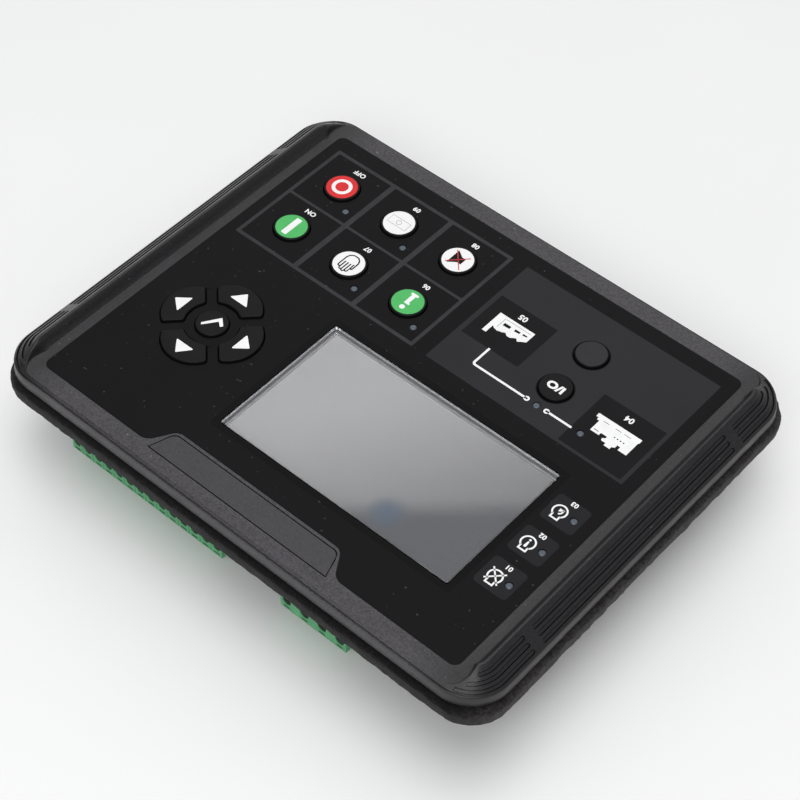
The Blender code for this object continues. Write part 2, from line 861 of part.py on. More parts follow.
def build_mat():
    inside = [place for place in pipe_places.values() if place[1] < mat_top]
    loops = [mat_outline()] + [circle(x, y, pipe_radius + slip, 8) for x, y in inside]
    post = post_places[3]
    loops.append(circle(*post, post_radius + slip, 12))
    mat = plate("key_mat", loops, sheet_bottom, sheet_top, parts, silicone)
    domes = new_collection("mat_domes", cutters)
    hollows = new_collection("mat_hollows", cutters)
    for x, y in dome_places():
        middle = (sheet_bottom + sheet_top) / 2
        rod("dome", (x, y, middle), (x, y, dome_top), dome_radius, domes, dome_radius * 0.7, 8)
        rod("hollow", (x, y, sheet_bottom - overshoot), (x, y, dome_top - dome_roof), dome_hollow, hollows,
            dome_hollow * 0.75, 8)
    combine(mat, domes, "UNION")
    combine(mat, hollows, "DIFFERENCE")
    smooth(mat)


def board_outline():
    half_x = case_width / 2 - case_wall - slip
    half_y = case_height / 2 - case_wall - slip
    x = boss_places()[0][0] - boss_radius - slip
    y = boss_places()[0][1] - boss_radius - slip
    corner = [(half_x, y), (x, y), (x, half_y)]
    points = corner + [(-px, py) for px, py in reversed(corner)]
    return points + [(-px, -py) for px, py in points]


def board_holes():
    return [circle(x, y, screw_hole, 10) for x, y in post_places]


def build_key_board():
    board = plate("key_board", [board_outline()] + board_holes(), key_board_bottom, key_board_top,
                  parts, board_green)
    chips = new_collection("board_chips", cutters)
    half = chip_size / 2
    sunk = key_board_top - board_thickness / 4
    for x, y in pipe_places.values():
        box("light_chip", (x - half, y - half, sunk), (x + half, y + half, key_board_top + chip_height), chips)
    for x, y in dome_places():
        rod("key_switch", (x, y, sunk), (x, y, key_board_top + switch_height), switch_radius, chips,
            switch_radius * 0.8, 8)
    combine(board, chips, "UNION")


def build_main_board():
    plate("main_board", [board_outline()] + board_holes(), main_board_bottom, main_board_top, parts, board_green)


def build_display():
    glass_width = window_width - 2 * glass_margin
    glass_height = window_height - 2 * glass_margin
    top = face_z - glass_depth
    low = key_board_top + seam
    outer = rectangle(window_x, window_y, window_width + 2 * frame_border, window_height + 2 * frame_border,
                      window_corner, 2)
    inner = rectangle(window_x, window_y, glass_width + 2 * seam, glass_height + 2 * seam, 0.0)
    plate("display_frame", [outer, inner], low, collar_top, parts, steel)
    face = rectangle(window_x, window_y, glass_width, glass_height, 0.0)
    plate("display_panel", [face], low, top, parts, lcd_grey)


# Gasket and rear case

def build_gasket():
    grow = 2 * gasket_proud
    outer = rectangle(0.0, 0.0, bezel_width + grow, bezel_height + grow, bezel_corner - gasket_tuck, 7)
    inner = rectangle(0.0, 0.0, case_width + 2 * slip, case_height + 2 * slip, case_corner + slip)
    gasket = plate("panel_gasket", [outer, inner], gasket_rear, gasket_front, parts, foam)
    work = bmesh.new()
    work.from_mesh(gasket.data)
    outside = [edge for edge in work.edges if edge.calc_face_angle(0.0) > math.radians(60.0)
               and all(max(abs(vert.co.x) - case_width / 2, abs(vert.co.y) - case_height / 2) > boss_radius
                       for vert in edge.verts)]
    bmesh.ops.bevel(work, geom=outside, offset=gasket_round, segments=2, profile=0.5, affect="EDGES")
    work.to_mesh(gasket.data)
    work.free()
    smooth(gasket, 50.0)


def terminal_span(ways, pitch):
    return ways * pitch


def case_shell():
    front = collar_top
    outer = rectangle(0.0, 0.0, case_width, case_height, case_corner)
    case = plate("rear_case", [outer], ledge_z, front, parts, case_black)
    soften_rim(case, ledge_z, case_edge, 2)
    waist = new_collection("case_waist", cutters)
    deep = rectangle(0.0, 0.0, case_width, case_waist, case_waist_corner)
    back = plate("case_back", [deep], 0.0, front - deck_thickness, waist)
    soften_rim(back, 0.0, case_edge, 2)
    for side in (1, -1):
        taken = [(x - terminal_span(ways, pitch) / 2, x + terminal_span(ways, pitch) / 2)
                 for name, ways, pitch, x, row in terminals if row == side]
        edges = sorted(taken)
        places = [(edges[0][1] + edges[1][0]) / 2, edges[0][0] - gusset_reach, edges[0][0] - 3 * gusset_reach]
        for x in places:
            gusset("case_gusset", x, side, waist)
    combine(case, waist, "UNION")
    return case


def gusset(name, x, side, group):
    """Triangular web between the deep back and the terminal ledge."""
    work = bmesh.new()
    root = case_waist / 2 - case_wall / 2
    tip = case_waist / 2 + gusset_reach
    inside = ledge_z + case_wall / 2
    profile = [(root, inside), (tip, inside), (tip, ledge_z), (case_waist / 2, ledge_z - gusset_drop),
               (root, ledge_z - gusset_drop)]
    low = [work.verts.new((x - gusset_thickness / 2, side * y, z)) for y, z in profile]
    high = [work.verts.new((x + gusset_thickness / 2, side * y, z)) for y, z in profile]
    work.faces.new(low)
    work.faces.new(list(reversed(high)))
    for index in range(len(profile)):
        after = (index + 1) % len(profile)
        work.faces.new((low[index], high[index], high[after], low[after]))
    bmesh.ops.recalc_face_normals(work, faces=work.faces)
    mesh = bpy.data.meshes.new(name)
    work.to_mesh(mesh)
    work.free()
    return add_object(name, mesh, group)


def build_case():
    case = case_shell()
    wall = case_wall
    hollow = new_collection("case_hollow", cutters)
    inner = rectangle(0.0, 0.0, case_width - 2 * wall, case_height - 2 * wall, case_corner - wall)
    plate("hollow_front", [inner], ledge_z + wall, collar_top + overshoot, hollow)
    deep = rectangle(0.0, 0.0, case_width - 2 * wall, case_waist - 2 * wall, case_waist_corner - wall)
    plate("hollow_back", [deep], wall, collar_top, hollow)
    for name, ways, pitch, x, side in terminals:
        half = terminal_span(ways, pitch) / 2 + seam
        near, far = sorted((side * (row_y - header_width / 2 - seam), side * (row_y + header_width / 2 + seam)))
        box("window_" + name, (x - half, near, ledge_z - overshoot), (x + half, far, ledge_z + wall + overshoot),
            hollow)
    for side in (1, -1):
        for y in (clip_slot_y, -clip_slot_y):
            near, far = sorted((side * (case_width / 2 - clip_slot_depth), side * (case_width / 2 + overshoot)))
            box("clip_slot", (near, y - clip_slot_length / 2, clip_slot_z),
                (far, y + clip_slot_length / 2, clip_slot_z + clip_slot_width), hollow)
    combine(case, hollow, "DIFFERENCE")
    posts = new_collection("case_posts", cutters)
    top = deck_bottom - boss_length - seam
    for x, y in boss_places():
        rod("case_post", (x, y, ledge_z + wall / 2), (x, y, top), boss_radius, posts, steps=10)
    combine(case, posts, "UNION")
    holes = new_collection("case_screw_holes", cutters)
    for x, y in boss_places():
        rod("case_screw_hole", (x, y, ledge_z - overshoot), (x, y, top + overshoot), screw_hole, holes, steps=8)
    combine(case, holes, "DIFFERENCE")
    smooth(case)


def screw(name, place, seat, tip):
    """Pan-head screw, driven towards +Z, with its head under the seat height."""
    low = seat - seam - screw_head_height
    profile = [(0.0, tip), (screw_shank, tip), (screw_shank, seat - seam), (screw_head, seat - seam),
               (screw_head, low + screw_head_height * 0.4), (screw_head * 0.7, low), (0.0, low)]
    smooth(turned(name, profile, place, steel))


def build_fasteners():
    for index, place in enumerate(boss_places(), 1):
        screw("case_screw_%d" % index, place, ledge_z, deck_bottom - boss_length + screw_bite)
    for index, place in enumerate(post_places, 1):
        screw("board_screw_%d" % index, place, main_board_bottom, key_board_top + seam + screw_bite)
        inner, outer = screw_hole, post_radius
        high, low = key_board_bottom - seam, main_board_top + seam
        profile = [(outer, high), (outer, low), (inner, low), (inner, high)]
        smooth(turned("board_spacer_%d" % index, profile, place, steel, closed=True))


# Terminals

def way_places(ways, pitch, x):
    return [x + (index - (ways - 1) / 2) * pitch for index in range(ways)]


def build_header(name, ways, pitch, x, side):
    half = terminal_span(ways, pitch) / 2
    near, far = sorted((side * (row_y - header_width / 2), side * (row_y + header_width / 2)))
    header = box("header_" + name, (x - half, near, header_rim), (x + half, far, header_base), parts, terminal_green)
    pocket = new_collection("header_pocket_" + name, cutters)
    wall = header_wall
    box("pocket", (x - half + wall, near + wall, header_rim - overshoot),
        (x + half - wall, far - wall, header_base - header_floor), pocket)
    combine(header, pocket, "DIFFERENCE")


def build_plug(name, ways, pitch, x, side):
    """Screw-clamp plug: a nose in the header, with clamp screws outward and wire entries to the rear."""
    span = terminal_span(ways, pitch) / 2
    half = span - (large_plug_end if pitch > small_pitch else plug_end)
    inner = row_y - plug_inner_step
    outer = inner + plug_width + (large_plug_extra if pitch > small_pitch else 0.0)
    near, far = sorted((side * inner, side * outer))
    plug = box("plug_" + name, (x - half, near, plug_rear), (x + half, far, plug_front), parts, terminal_green)
    nose = new_collection("plug_nose_" + name, cutters)
    reach = header_width / 2 - header_wall - seam
    tip = plug_front + plug_nose
    box("nose", (x - span + header_wall + seam, side * row_y - reach, plug_front - overshoot),
        (x + span - header_wall - seam, side * row_y + reach, tip), nose)
    combine(plug, nose, "UNION")
    cuts = new_collection("plug_cuts_" + name, cutters)
    well = screw_well * (1.15 if pitch > small_pitch else 1.0)
    for middle in way_places(ways, pitch, x):
        hole_z = plug_rear + screw_well_height
        rod("screw_well", (middle, side * (outer - screw_well_depth), hole_z),
            (middle, side * (outer + overshoot), hole_z), well, cuts, steps=10)
        slot_near, slot_far = sorted((side * (outer - overshoot), side * (outer + overshoot)))
        slot_z = plug_rear + index_slot_place
        box("index_slot", (middle - index_slot_width / 2, slot_near, slot_z - index_slot_height / 2),
            (middle + index_slot_width / 2, slot_far, slot_z + index_slot_height / 2), cuts)
        entry = side * (row_y + wire_entry_y)
        box("wire_entry", (middle - wire_entry / 2, entry - wire_entry / 2, plug_rear - overshoot),
            (middle + wire_entry / 2, entry + wire_entry / 2, plug_rear + wire_entry_depth), cuts)
    combine(plug, cuts, "DIFFERENCE")
    smooth(plug)


# Components on the main board

def build_components():
    top = main_board_bottom - seam
    half_x, half_y = relay_width / 2, relay_depth / 2
    for index in range(2):
        x = relay_x + index * relay_pitch
        relay = box("relay_%d" % (index + 1), (x - half_x, -half_y, top - relay_height), (x + half_x, half_y, top),
                    parts, relay_black)
        bevel = relay.modifiers.new("rounded", "BEVEL")
        bevel.width = relay_round
        bevel.segments = 1
    profile = [(0.0, top), (can_radius, top), (can_radius, top - can_height + can_rim),
               (can_radius - can_rim, top - can_height), (0.0, top - can_height)]
    smooth(turned("capacitor", profile, (can_x, can_y), can_metal, steps=16))
    low = top - buzzer_height
    profile = [(0.0, top), (buzzer_radius, top), (buzzer_radius, low), (buzzer_hole, low),
               (buzzer_hole, low + buzzer_height / 7), (0.0, low + buzzer_height / 7)]
    smooth(turned("buzzer", profile, (buzzer_x, buzzer_y), relay_black, steps=14))
    box("board_link", (-link_length / 2, link_y - link_width / 2, main_board_top + seam),
        (link_length / 2, link_y + link_width / 2, key_board_bottom - seam), parts, relay_black)


build_bezel()
build_badge()
build_film()
build_lens()
build_round_keys()
build_arrow_keys()
build_light_pipes()
build_mat()
build_key_board()
build_main_board()
build_display()
build_gasket()
build_case()
build_fasteners()
for terminal in terminals:
    build_header(*terminal)
    build_plug(*terminal)
build_components()
add_booleans()
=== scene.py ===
# Genset controller: finishes, printed face, fine mouldings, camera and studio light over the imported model.
# The face points to +Z and +Y is the panel's upright direction. Sizes are in metres.
import math

import bmesh
import bpy
from mathutils import Matrix, Vector, noise


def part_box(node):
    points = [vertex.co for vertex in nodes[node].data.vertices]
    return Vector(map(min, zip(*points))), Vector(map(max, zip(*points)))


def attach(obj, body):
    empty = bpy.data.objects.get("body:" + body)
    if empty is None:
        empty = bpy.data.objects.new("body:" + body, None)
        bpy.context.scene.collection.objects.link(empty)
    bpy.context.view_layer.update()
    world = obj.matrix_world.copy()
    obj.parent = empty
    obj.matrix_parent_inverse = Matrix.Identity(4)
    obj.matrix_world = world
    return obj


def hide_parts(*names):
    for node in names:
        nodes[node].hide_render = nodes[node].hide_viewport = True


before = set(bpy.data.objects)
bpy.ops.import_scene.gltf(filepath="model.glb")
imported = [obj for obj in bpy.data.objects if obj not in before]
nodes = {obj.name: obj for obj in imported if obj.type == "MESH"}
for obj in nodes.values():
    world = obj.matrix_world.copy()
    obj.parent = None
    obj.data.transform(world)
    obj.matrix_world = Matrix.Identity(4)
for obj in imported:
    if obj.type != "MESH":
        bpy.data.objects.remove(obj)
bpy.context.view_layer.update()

mm = 0.001
fullTurn = 2 * math.pi
quarterTurn = math.pi / 2
print("frame loaded:", len(nodes), "nodes")


def addObject(name, data):
    thing = bpy.data.objects.new(name, data)
    bpy.context.scene.collection.objects.link(thing)
    return thing


def middleOf(node):
    low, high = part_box(node)
    return (low + high) / 2


# Shader nodes

def addNode(tree, kind, inputs=None, **settings):
    # each input takes a number, a colour or vector, or another node's output
    node = tree.nodes.new("ShaderNode" + kind)
    for name, value in settings.items():
        setattr(node, name, value)
    for name, value in (inputs or {}).items():
        socket = node.inputs[name]
        if isinstance(value, bpy.types.NodeSocket):
            tree.links.new(value, socket)
        else:
            socket.default_value = (*value, 1.0) if socket.type == "RGBA" else value
    return node


def objectPlace(tree):
    return addNode(tree, "TexCoord").outputs["Object"]


def noiseAt(tree, size, detail=3.0, stretch=(1.0, 1.0, 1.0)):
    # noise on the object's own place, with features of about this size
    scaled = addNode(tree, "Mapping", {"Vector": objectPlace(tree), "Scale": stretch}).outputs["Vector"]
    return addNode(tree, "TexNoise", {"Vector": scaled, "Scale": 1.0 / size, "Detail": detail}).outputs["Fac"]


def spread(tree, value, low, high, fromLow=0.3, fromHigh=0.7, easing="LINEAR"):
    limits = {"Value": value, "From Min": fromLow, "From Max": fromHigh, "To Min": low, "To Max": high}
    return addNode(tree, "MapRange", limits, interpolation_type=easing).outputs["Result"]


def along(tree, place, direction, start, end):
    # 0 at the first reading of this direction and 1 at the second, eased between
    dot = addNode(tree, "VectorMath", {0: place, 1: direction}, operation="DOT_PRODUCT")
    return spread(tree, dot.outputs["Value"], 0.0, 1.0, start, end, "SMOOTHSTEP")


def blendColours(tree, share, first, second, blend="MIX"):
    inputs = {"Factor": share, "A": first, "B": second}
    return addNode(tree, "Mix", inputs, data_type="RGBA", blend_type=blend).outputs["Result"]


def patched(tree, size, detail, first, second):
    # two colours in patches of about this size
    return blendColours(tree, spread(tree, noiseAt(tree, size, detail), 0.0, 1.0), first, second)


def toned(tree, size, detail, colour, darker, paler):
    # one colour between these shares of its brightness, in patches of about this size
    first, second = [tuple(min(part * share, 1.0) for part in colour) for share in (darker, paler)]
    return patched(tree, size, detail, first, second)


# Camera and studio
photoCamera = {
    "place": (-0.2904, 0.3384, 0.5580),
    "right": (-0.75364987, -0.65718089, 0.01118699),
    "up": (0.50913412, -0.57293764, 0.64228102),
    "back": (-0.41568536, 0.48975068, 0.7663876),
    "lens": 93.14, "sensor": 36.0, "near": 0.01, "far": 20.0,
}
studio = {
    "horizon": (0.74, 0.745, 0.76), "zenith": (0.29, 0.295, 0.31), "rise": (0.05, 0.75), "roomLight": 0.80,
    "glow": (1.50, 1.49, 1.52), "glowAim": (0.45, -0.70, 1.0), "glowEdge": (0.80, 0.985),
    "softBoxes": {
        "overheadBox": {"place": (-0.10, 0.10, 1.70), "aim": (-0.10, 0.10, 0.0), "size": (1.6, 1.6),
                        "shape": "DISK", "power": 12.0},
        "frontBox": {"place": (-0.70, 1.30, 1.50), "aim": (0.0, 0.0, 0.0), "size": (1.1, 0.9),
                     "shape": "RECTANGLE", "power": 12.5},
    },
}


def placeCamera(look):
    lens = bpy.data.cameras.new("photoCamera")
    lens.lens = look["lens"]
    lens.sensor_width = look["sensor"]
    lens.clip_start = look["near"]
    lens.clip_end = look["far"]
    viewer = addObject("photoCamera", lens)
    turn = Matrix((look["right"], look["up"], look["back"])).transposed()
    viewer.matrix_world = Matrix.Translation(look["place"]) @ turn.to_4x4()
    bpy.context.scene.camera = viewer
    bpy.context.scene.view_settings.view_transform = "Standard"


def addSoftBox(name, look):
    lamp = bpy.data.lights.new(name, "AREA")
    lamp.shape = look["shape"]
    lamp.size, height = look["size"]
    if lamp.shape == "RECTANGLE":
        lamp.size_y = height
    lamp.energy = look["power"]
    box = addObject(name, lamp)
    box.location = look["place"]
    aim = Vector(look["aim"]) - Vector(look["place"])
    box.rotation_euler = aim.to_track_quat("-Z", "Y").to_euler()


def buildRoom(look):
    # pale walls, a dimmer ceiling and the broad glow of a lit screen behind the object
    room = bpy.data.worlds.new("studioRoom")
    room.use_nodes = True
    tree = room.node_tree
    place = addNode(tree, "TexCoord").outputs["Generated"]
    height = addNode(tree, "SeparateXYZ", {"Vector": place}).outputs["Z"]
    walls = blendColours(tree, spread(tree, height, 0.0, 1.0, *look["rise"]), look["horizon"], look["zenith"])
    glow = along(tree, place, Vector(look["glowAim"]).normalized(), *look["glowEdge"])
    shade = tree.nodes["Background"]
    shade.inputs["Strength"].default_value = look["roomLight"]
    tree.links.new(blendColours(tree, glow, walls, look["glow"]), shade.inputs["Color"])
    bpy.context.scene.world = room


placeCamera(photoCamera)
for boxName, boxLook in studio["softBoxes"].items():
    addSoftBox(boxName, boxLook)
buildRoom(studio)
print("camera and lights placed")


# Finishes

def newFinish(name, colour, roughness, metallic=0.0):
    finish = bpy.data.materials.new(name)
    finish.use_nodes = True
    shader = finish.node_tree.nodes["Principled BSDF"]
    shader.inputs["Base Color"].default_value = (*colour, 1.0)
    shader.inputs["Roughness"].default_value = roughness
    shader.inputs["Metallic"].default_value = metallic
    finish.diffuse_color = (*colour, 1.0)
    return finish, finish.node_tree, shader


def dress(tree, shader, tint, wear, low, high, shine=0.5):
    # colour, roughness that the wear moves between two values, and shine
    tree.links.new(tint, shader.inputs["Base Color"])
    tree.links.new(spread(tree, wear, low, high), shader.inputs["Roughness"])
    shader.inputs["Specular IOR Level"].default_value = shine


def addGrain(tree, shader, size, height, detail=4.0, edge=0.0, stretch=(1.0, 1.0, 1.0)):
    # surface grain, over slightly rounded edges
    inputs = {"Strength": 1.0, "Distance": height, "Height": noiseAt(tree, size, detail, stretch)}
    if edge:
        inputs["Normal"] = addNode(tree, "Bevel", {"Radius": edge}, samples=4).outputs["Normal"]
    tree.links.new(addNode(tree, "Bump", inputs).outputs["Normal"], shader.inputs["Normal"])


def mouldedPlastic(name, look):
    # keys: colour, roughness, grain (size) and height, tone (colour change) and patch (its size), speckle (dark
    # pores), sides (start, end and share of a change of colour to either side: a painted shade, or with a share
    # above 1 a painted light), dust, shine, sheen and edge
    finish, tree, shader = newFinish(name, look["colour"], look["roughness"])
    tone, patch, rough = look.get("tone", 0.1), look.get("patch", 0.02), look["roughness"]
    tint = toned(tree, patch, 4.0, look["colour"], 1.0 - tone, 1.0 + tone)
    pores = patched(tree, look["grain"] * 1.7, 2.0, (0.22, 0.22, 0.22), (1.0, 1.0, 1.0))
    tint = blendColours(tree, look.get("speckle", 0.12), tint, pores, "MULTIPLY")
    # painted shade or light: the colour turns darker (share below 1) or paler (share above 1) towards either end
    # in x
    if "sides" in look:
        near, far, share = look["sides"]
        x = addNode(tree, "SeparateXYZ", {"Vector": objectPlace(tree)}).outputs["X"]
        apart = addNode(tree, "Math", {0: x}, operation="ABSOLUTE").outputs["Value"]
        paintedSideMask = spread(tree, apart, 0.0, 1.0, near, far)
        tint = blendColours(tree, paintedSideMask, tint, (share, share, share), "MULTIPLY")
    if "dust" in look:
        specks = spread(tree, noiseAt(tree, 0.0013, 1.0), 0.0, look["dust"], 0.765, 0.80)
        tint = blendColours(tree, specks, tint, (0.55, 0.54, 0.52))
    dress(tree, shader, tint, noiseAt(tree, patch * 0.4, 5.0), rough - 0.05, rough + 0.05, look.get("shine", 0.5))
    if "sheen" in look:
        shader.inputs["Sheen Weight"].default_value = look["sheen"]
        shader.inputs["Sheen Roughness"].default_value = 0.6
    addGrain(tree, shader, look["grain"], look["height"], 4.0, look.get("edge", 0.0))
    return finish


def printedInk(name, look):
    # a thin screen print: even colour, faint pinholes and roughness changes
    finish, tree, shader = newFinish(name, look["colour"], look["roughness"])
    tone, rough = look.get("tone", 0.04), look["roughness"]
    tint = toned(tree, look.get("patch", 0.004), 5.0, look["colour"], 1.0 - tone, 1.0 + tone)
    dress(tree, shader, tint, noiseAt(tree, 0.0012, 4.0), rough - 0.04, rough + 0.04, look.get("shine", 0.4))
    addGrain(tree, shader, 0.00025, 0.000002)
    return finish


def metalFinish(name, look):
    # drawn or rolled metal: long fine scratches and a slightly uneven shine
    finish, tree, shader = newFinish(name, look["colour"], look["roughness"], 1.0)
    stretch, rough = (1.0, 12.0, 1.0), look["roughness"]
    tint = toned(tree, 0.006, 4.0, look["colour"], 0.86, 1.0)
    dress(tree, shader, tint, noiseAt(tree, 0.0008, 5.0, stretch), rough - 0.07, rough + 0.1)
    addGrain(tree, shader, 0.0005, 0.000006, 5.0, look.get("edge", 0.0), stretch)
    return finish


keyLook = {"grain": 0.00022, "height": 0.000005, "edge": 0.0001, "patch": 0.006}
capLook = {"roughness": 0.36, "grain": 0.0003, "height": 0.000003, "tone": 0.05, "speckle": 0.05, "edge": 0.0001,
           "shine": 0.15, "patch": 0.004}
finishes = {
    # the bezel's colour darkens towards its left and right ends: a painted shade
    "bezelPlastic": {"colour": (0.0630, 0.0575, 0.0650), "roughness": 0.36, "grain": 0.00036, "height": 0.000060,
                     "tone": 0.05, "speckle": 1.0, "edge": 0.00006, "patch": 0.03,
                     "sides": (0.076, 0.090, 0.26), "dust": 0.20},
    "badgePlastic": {"colour": (0.0430, 0.0398, 0.0446), "roughness": 0.38, "grain": 0.00032, "height": 0.000040,
                     "tone": 0.04, "speckle": 0.62, "edge": 0.00006, "shine": 0.46, "patch": 0.03},
    "overlayFilm": {"colour": (0.0058, 0.0058, 0.0065), "roughness": 0.34, "grain": 0.00016, "height": 0.000003,
                    "tone": 0.08, "edge": 0.00008, "shine": 0.075, "patch": 0.04, "dust": 0.11},
    "keyBlack": {**keyLook, "colour": (0.0062, 0.0062, 0.0069), "roughness": 0.38, "tone": 0.08, "shine": 0.12},
    "keyGrey": {**keyLook, "colour": (0.0240, 0.0240, 0.0262), "roughness": 0.40, "tone": 0.06, "shine": 0.20},
    "capGreen": {**capLook, "colour": (0.092, 0.520, 0.142)},
    "capRed": {**capLook, "colour": (0.760, 0.034, 0.036)},
    "capWhite": {**capLook, "colour": (0.950, 0.950, 0.935), "tone": 0.02, "speckle": 0.03, "shine": 0.5},
    # the foam's colour turns paler towards its left and right ends: a painted light
    "gasketFoam": {"colour": (0.0128, 0.0114, 0.0120), "roughness": 0.92, "grain": 0.00060, "height": 0.00032,
                   "tone": 0.30, "speckle": 0.95, "shine": 0.12, "patch": 0.003, "sheen": 0.10,
                   "sides": (0.094, 0.103, 3.2)},
    "casePlastic": {"colour": (0.016, 0.016, 0.018), "roughness": 0.52, "grain": 0.0005, "height": 0.00003,
                    "tone": 0.08, "speckle": 0.20, "edge": 0.0003, "shine": 0.4, "patch": 0.03},
    "siliconeMat": {"colour": (0.16, 0.16, 0.17), "roughness": 0.62, "grain": 0.0004, "height": 0.00001,
                    "tone": 0.06, "patch": 0.01},
    "terminalGreen": {"colour": (0.105, 0.430, 0.185), "roughness": 0.40, "grain": 0.0004, "height": 0.00001,
                      "tone": 0.09, "edge": 0.00016, "patch": 0.006},
    "relayPlastic": {"colour": (0.014, 0.014, 0.016), "roughness": 0.40, "grain": 0.0005, "height": 0.000012,
                     "tone": 0.06, "patch": 0.01},
}
materials = {name: mouldedPlastic(name, look) for name, look in finishes.items()}

inks = {
    "whiteInk": {"colour": (0.95, 0.95, 0.94), "roughness": 0.42},
    "blackInk": {"colour": (0.006, 0.006, 0.007), "roughness": 0.44, "shine": 0.10},
    "redInk": {"colour": (0.62, 0.030, 0.035), "roughness": 0.40},
    "paleInk": {"colour": (0.42, 0.42, 0.42), "roughness": 0.42},
    "gridInk": {"colour": (0.0400, 0.0400, 0.0430), "roughness": 0.40, "tone": 0.12, "shine": 0.085},
    "fieldInk": {"colour": (0.0262, 0.0262, 0.0287), "roughness": 0.38, "tone": 0.06, "shine": 0.085,
                 "patch": 0.03},
    "tileInk": {"colour": (0.0075, 0.0075, 0.0084), "roughness": 0.36, "tone": 0.06, "shine": 0.085,
                "patch": 0.02},
    "statusInk": {"colour": (0.0170, 0.0170, 0.0187), "roughness": 0.36, "tone": 0.08, "shine": 0.085},
    "frameInk": {"colour": (0.0036, 0.0036, 0.0040), "roughness": 0.30, "tone": 0.05, "shine": 0.07},
}
materials.update({name: printedInk(name, look) for name, look in inks.items()})

metals = {
    "screwSteel": {"colour": (0.58, 0.58, 0.57), "roughness": 0.34, "edge": 0.00008},
    "panelSteel": {"colour": (0.46, 0.46, 0.47), "roughness": 0.38, "edge": 0.0001},
    "canAluminium": {"colour": (0.72, 0.73, 0.75), "roughness": 0.30},
    # real clamp screws, coloured near black as a painted shade for the deep screw wells
    "clampSteel": {"colour": (0.055, 0.055, 0.055), "roughness": 0.46},
    "clampBrass": {"colour": (0.60, 0.47, 0.26), "roughness": 0.36},
}
materials.update({name: metalFinish(name, look) for name, look in metals.items()})


def pipeFinish():
    # smoky acrylic with a slight depth, paler at its middle
    finish, tree, shader = newFinish("lightPipe", (0.055, 0.072, 0.096), 0.24)
    tint = patched(tree, 0.0009, 4.0, (0.045, 0.060, 0.082), (0.066, 0.085, 0.112))
    tree.links.new(tint, shader.inputs["Base Color"])
    shader.inputs["Coat Weight"].default_value = 0.25
    addGrain(tree, shader, 0.0003, 0.000004)
    return finish


def windowFinish():
    # clear cast sheet with faint dust in its gloss
    finish, tree, shader = newFinish("windowClear", (0.96, 0.97, 0.975), 0.02)
    shader.inputs["Transmission Weight"].default_value = 1.0
    shader.inputs["IOR"].default_value = 1.49
    tree.links.new(spread(tree, noiseAt(tree, 0.004, 5.0), 0.0, 0.02, 0.5, 0.8), shader.inputs["Roughness"])
    addGrain(tree, shader, 0.020, 0.0000010, 1.0)
    return finish


def displayFinish():
    # unlit display: grey polariser with a painted reflection in its colour: paler to one side, a dark corner and a
    # bluish spot in it
    look = {"pale": (0.268, 0.265, 0.265), "dim": (0.090, 0.090, 0.092), "corner": (0.016, 0.018, 0.023),
            "blue": (0.010, 0.036, 0.072), "spot": (-0.0350, 0.0430), "spotInner": 0.0020, "spotOuter": 0.0076}
    finish, tree, shader = newFinish("displayGrey", look["pale"], 0.34)
    place = objectPlace(tree)
    # painted reflection: the grey runs from pale to dim across the display, then darkens into a painted dark
    # corner
    reflectionGradient = blendColours(tree, along(tree, place, (1.0, -0.6, 0.0), 0.002, -0.088), look["pale"], look["dim"])
    reflectionCorner = blendColours(tree, along(tree, place, (1.0, -1.08, 0.0), -0.0725, -0.0875), reflectionGradient, look["corner"])
    # painted reflection: a bluish spot inside the dark corner
    reflectionSpotPlace = (*look["spot"], middleOf("display_panel").z)
    distance = addNode(tree, "VectorMath", {0: place, 1: reflectionSpotPlace}, operation="DISTANCE").outputs["Value"]
    spot = spread(tree, distance, 1.0, 0.0, look["spotInner"], look["spotOuter"])
    tint = blendColours(tree, spot, reflectionCorner, look["blue"])
    dress(tree, shader, tint, noiseAt(tree, 0.01, 3.0), 0.32, 0.38, 0.3)
    addGrain(tree, shader, 0.0012, 0.0000004)
    return finish


def boardFinish():
    # green solder mask over fine copper tracks
    finish, tree, shader = newFinish("boardGreen", (0.015, 0.12, 0.05), 0.35)
    tracks = addNode(tree, "TexBrick", {
        "Vector": objectPlace(tree), "Scale": 160.0, "Mortar Size": 0.08, "Color1": (0.012, 0.105, 0.045),
        "Color2": (0.016, 0.125, 0.052), "Mortar": (0.03, 0.19, 0.075)})
    dress(tree, shader, tracks.outputs["Color"], noiseAt(tree, 0.002, 4.0), 0.28, 0.42)
    addGrain(tree, shader, 0.0006, 0.00001)
    return finish


materials.update({"lightPipe": pipeFinish(), "windowClear": windowFinish(), "displayGrey": displayFinish(),
                  "boardGreen": boardFinish()})
print("finishes made:", len(materials))


# Outlines, as lists of (x, y) points that run anticlockwise

def arcPoints(x, y, radius, start, end, steps):
    return [(x + radius * math.cos(start + (end - start) * step / steps),
             y + radius * math.sin(start + (end - start) * step / steps)) for step in range(steps + 1)]


def circlePoints(x, y, radius, steps=64):
    return arcPoints(x, y, radius, 0.0, fullTurn, steps)[:-1]


def circleAt(node, radius, steps):
    place = middleOf(node)
    return circlePoints(place.x, place.y, radius, steps)


def roundedCorners(corners, radii, steps=10):
    points = []
    for index, (corner, radius) in enumerate(zip(corners, radii)):
        here = Vector(corner)
        back = (Vector(corners[index - 1]) - here).normalized()
        ahead = (Vector(corners[(index + 1) % len(corners)]) - here).normalized()
        if radius <= 0.0:
            points.append(tuple(corner))
            continue
        half = back.angle(ahead) / 2
        middle = here + (back + ahead).normalized() * (radius / math.sin(half))
        start = here + back * (radius / math.tan(half)) - middle
        end = here + ahead * (radius / math.tan(half)) - middle
        first = math.atan2(start.y, start.x)
        sweep = math.atan2(start.x * end.y - start.y * end.x, start.dot(end))
        points += arcPoints(middle.x, middle.y, radius, first, first + sweep, steps)
    return points


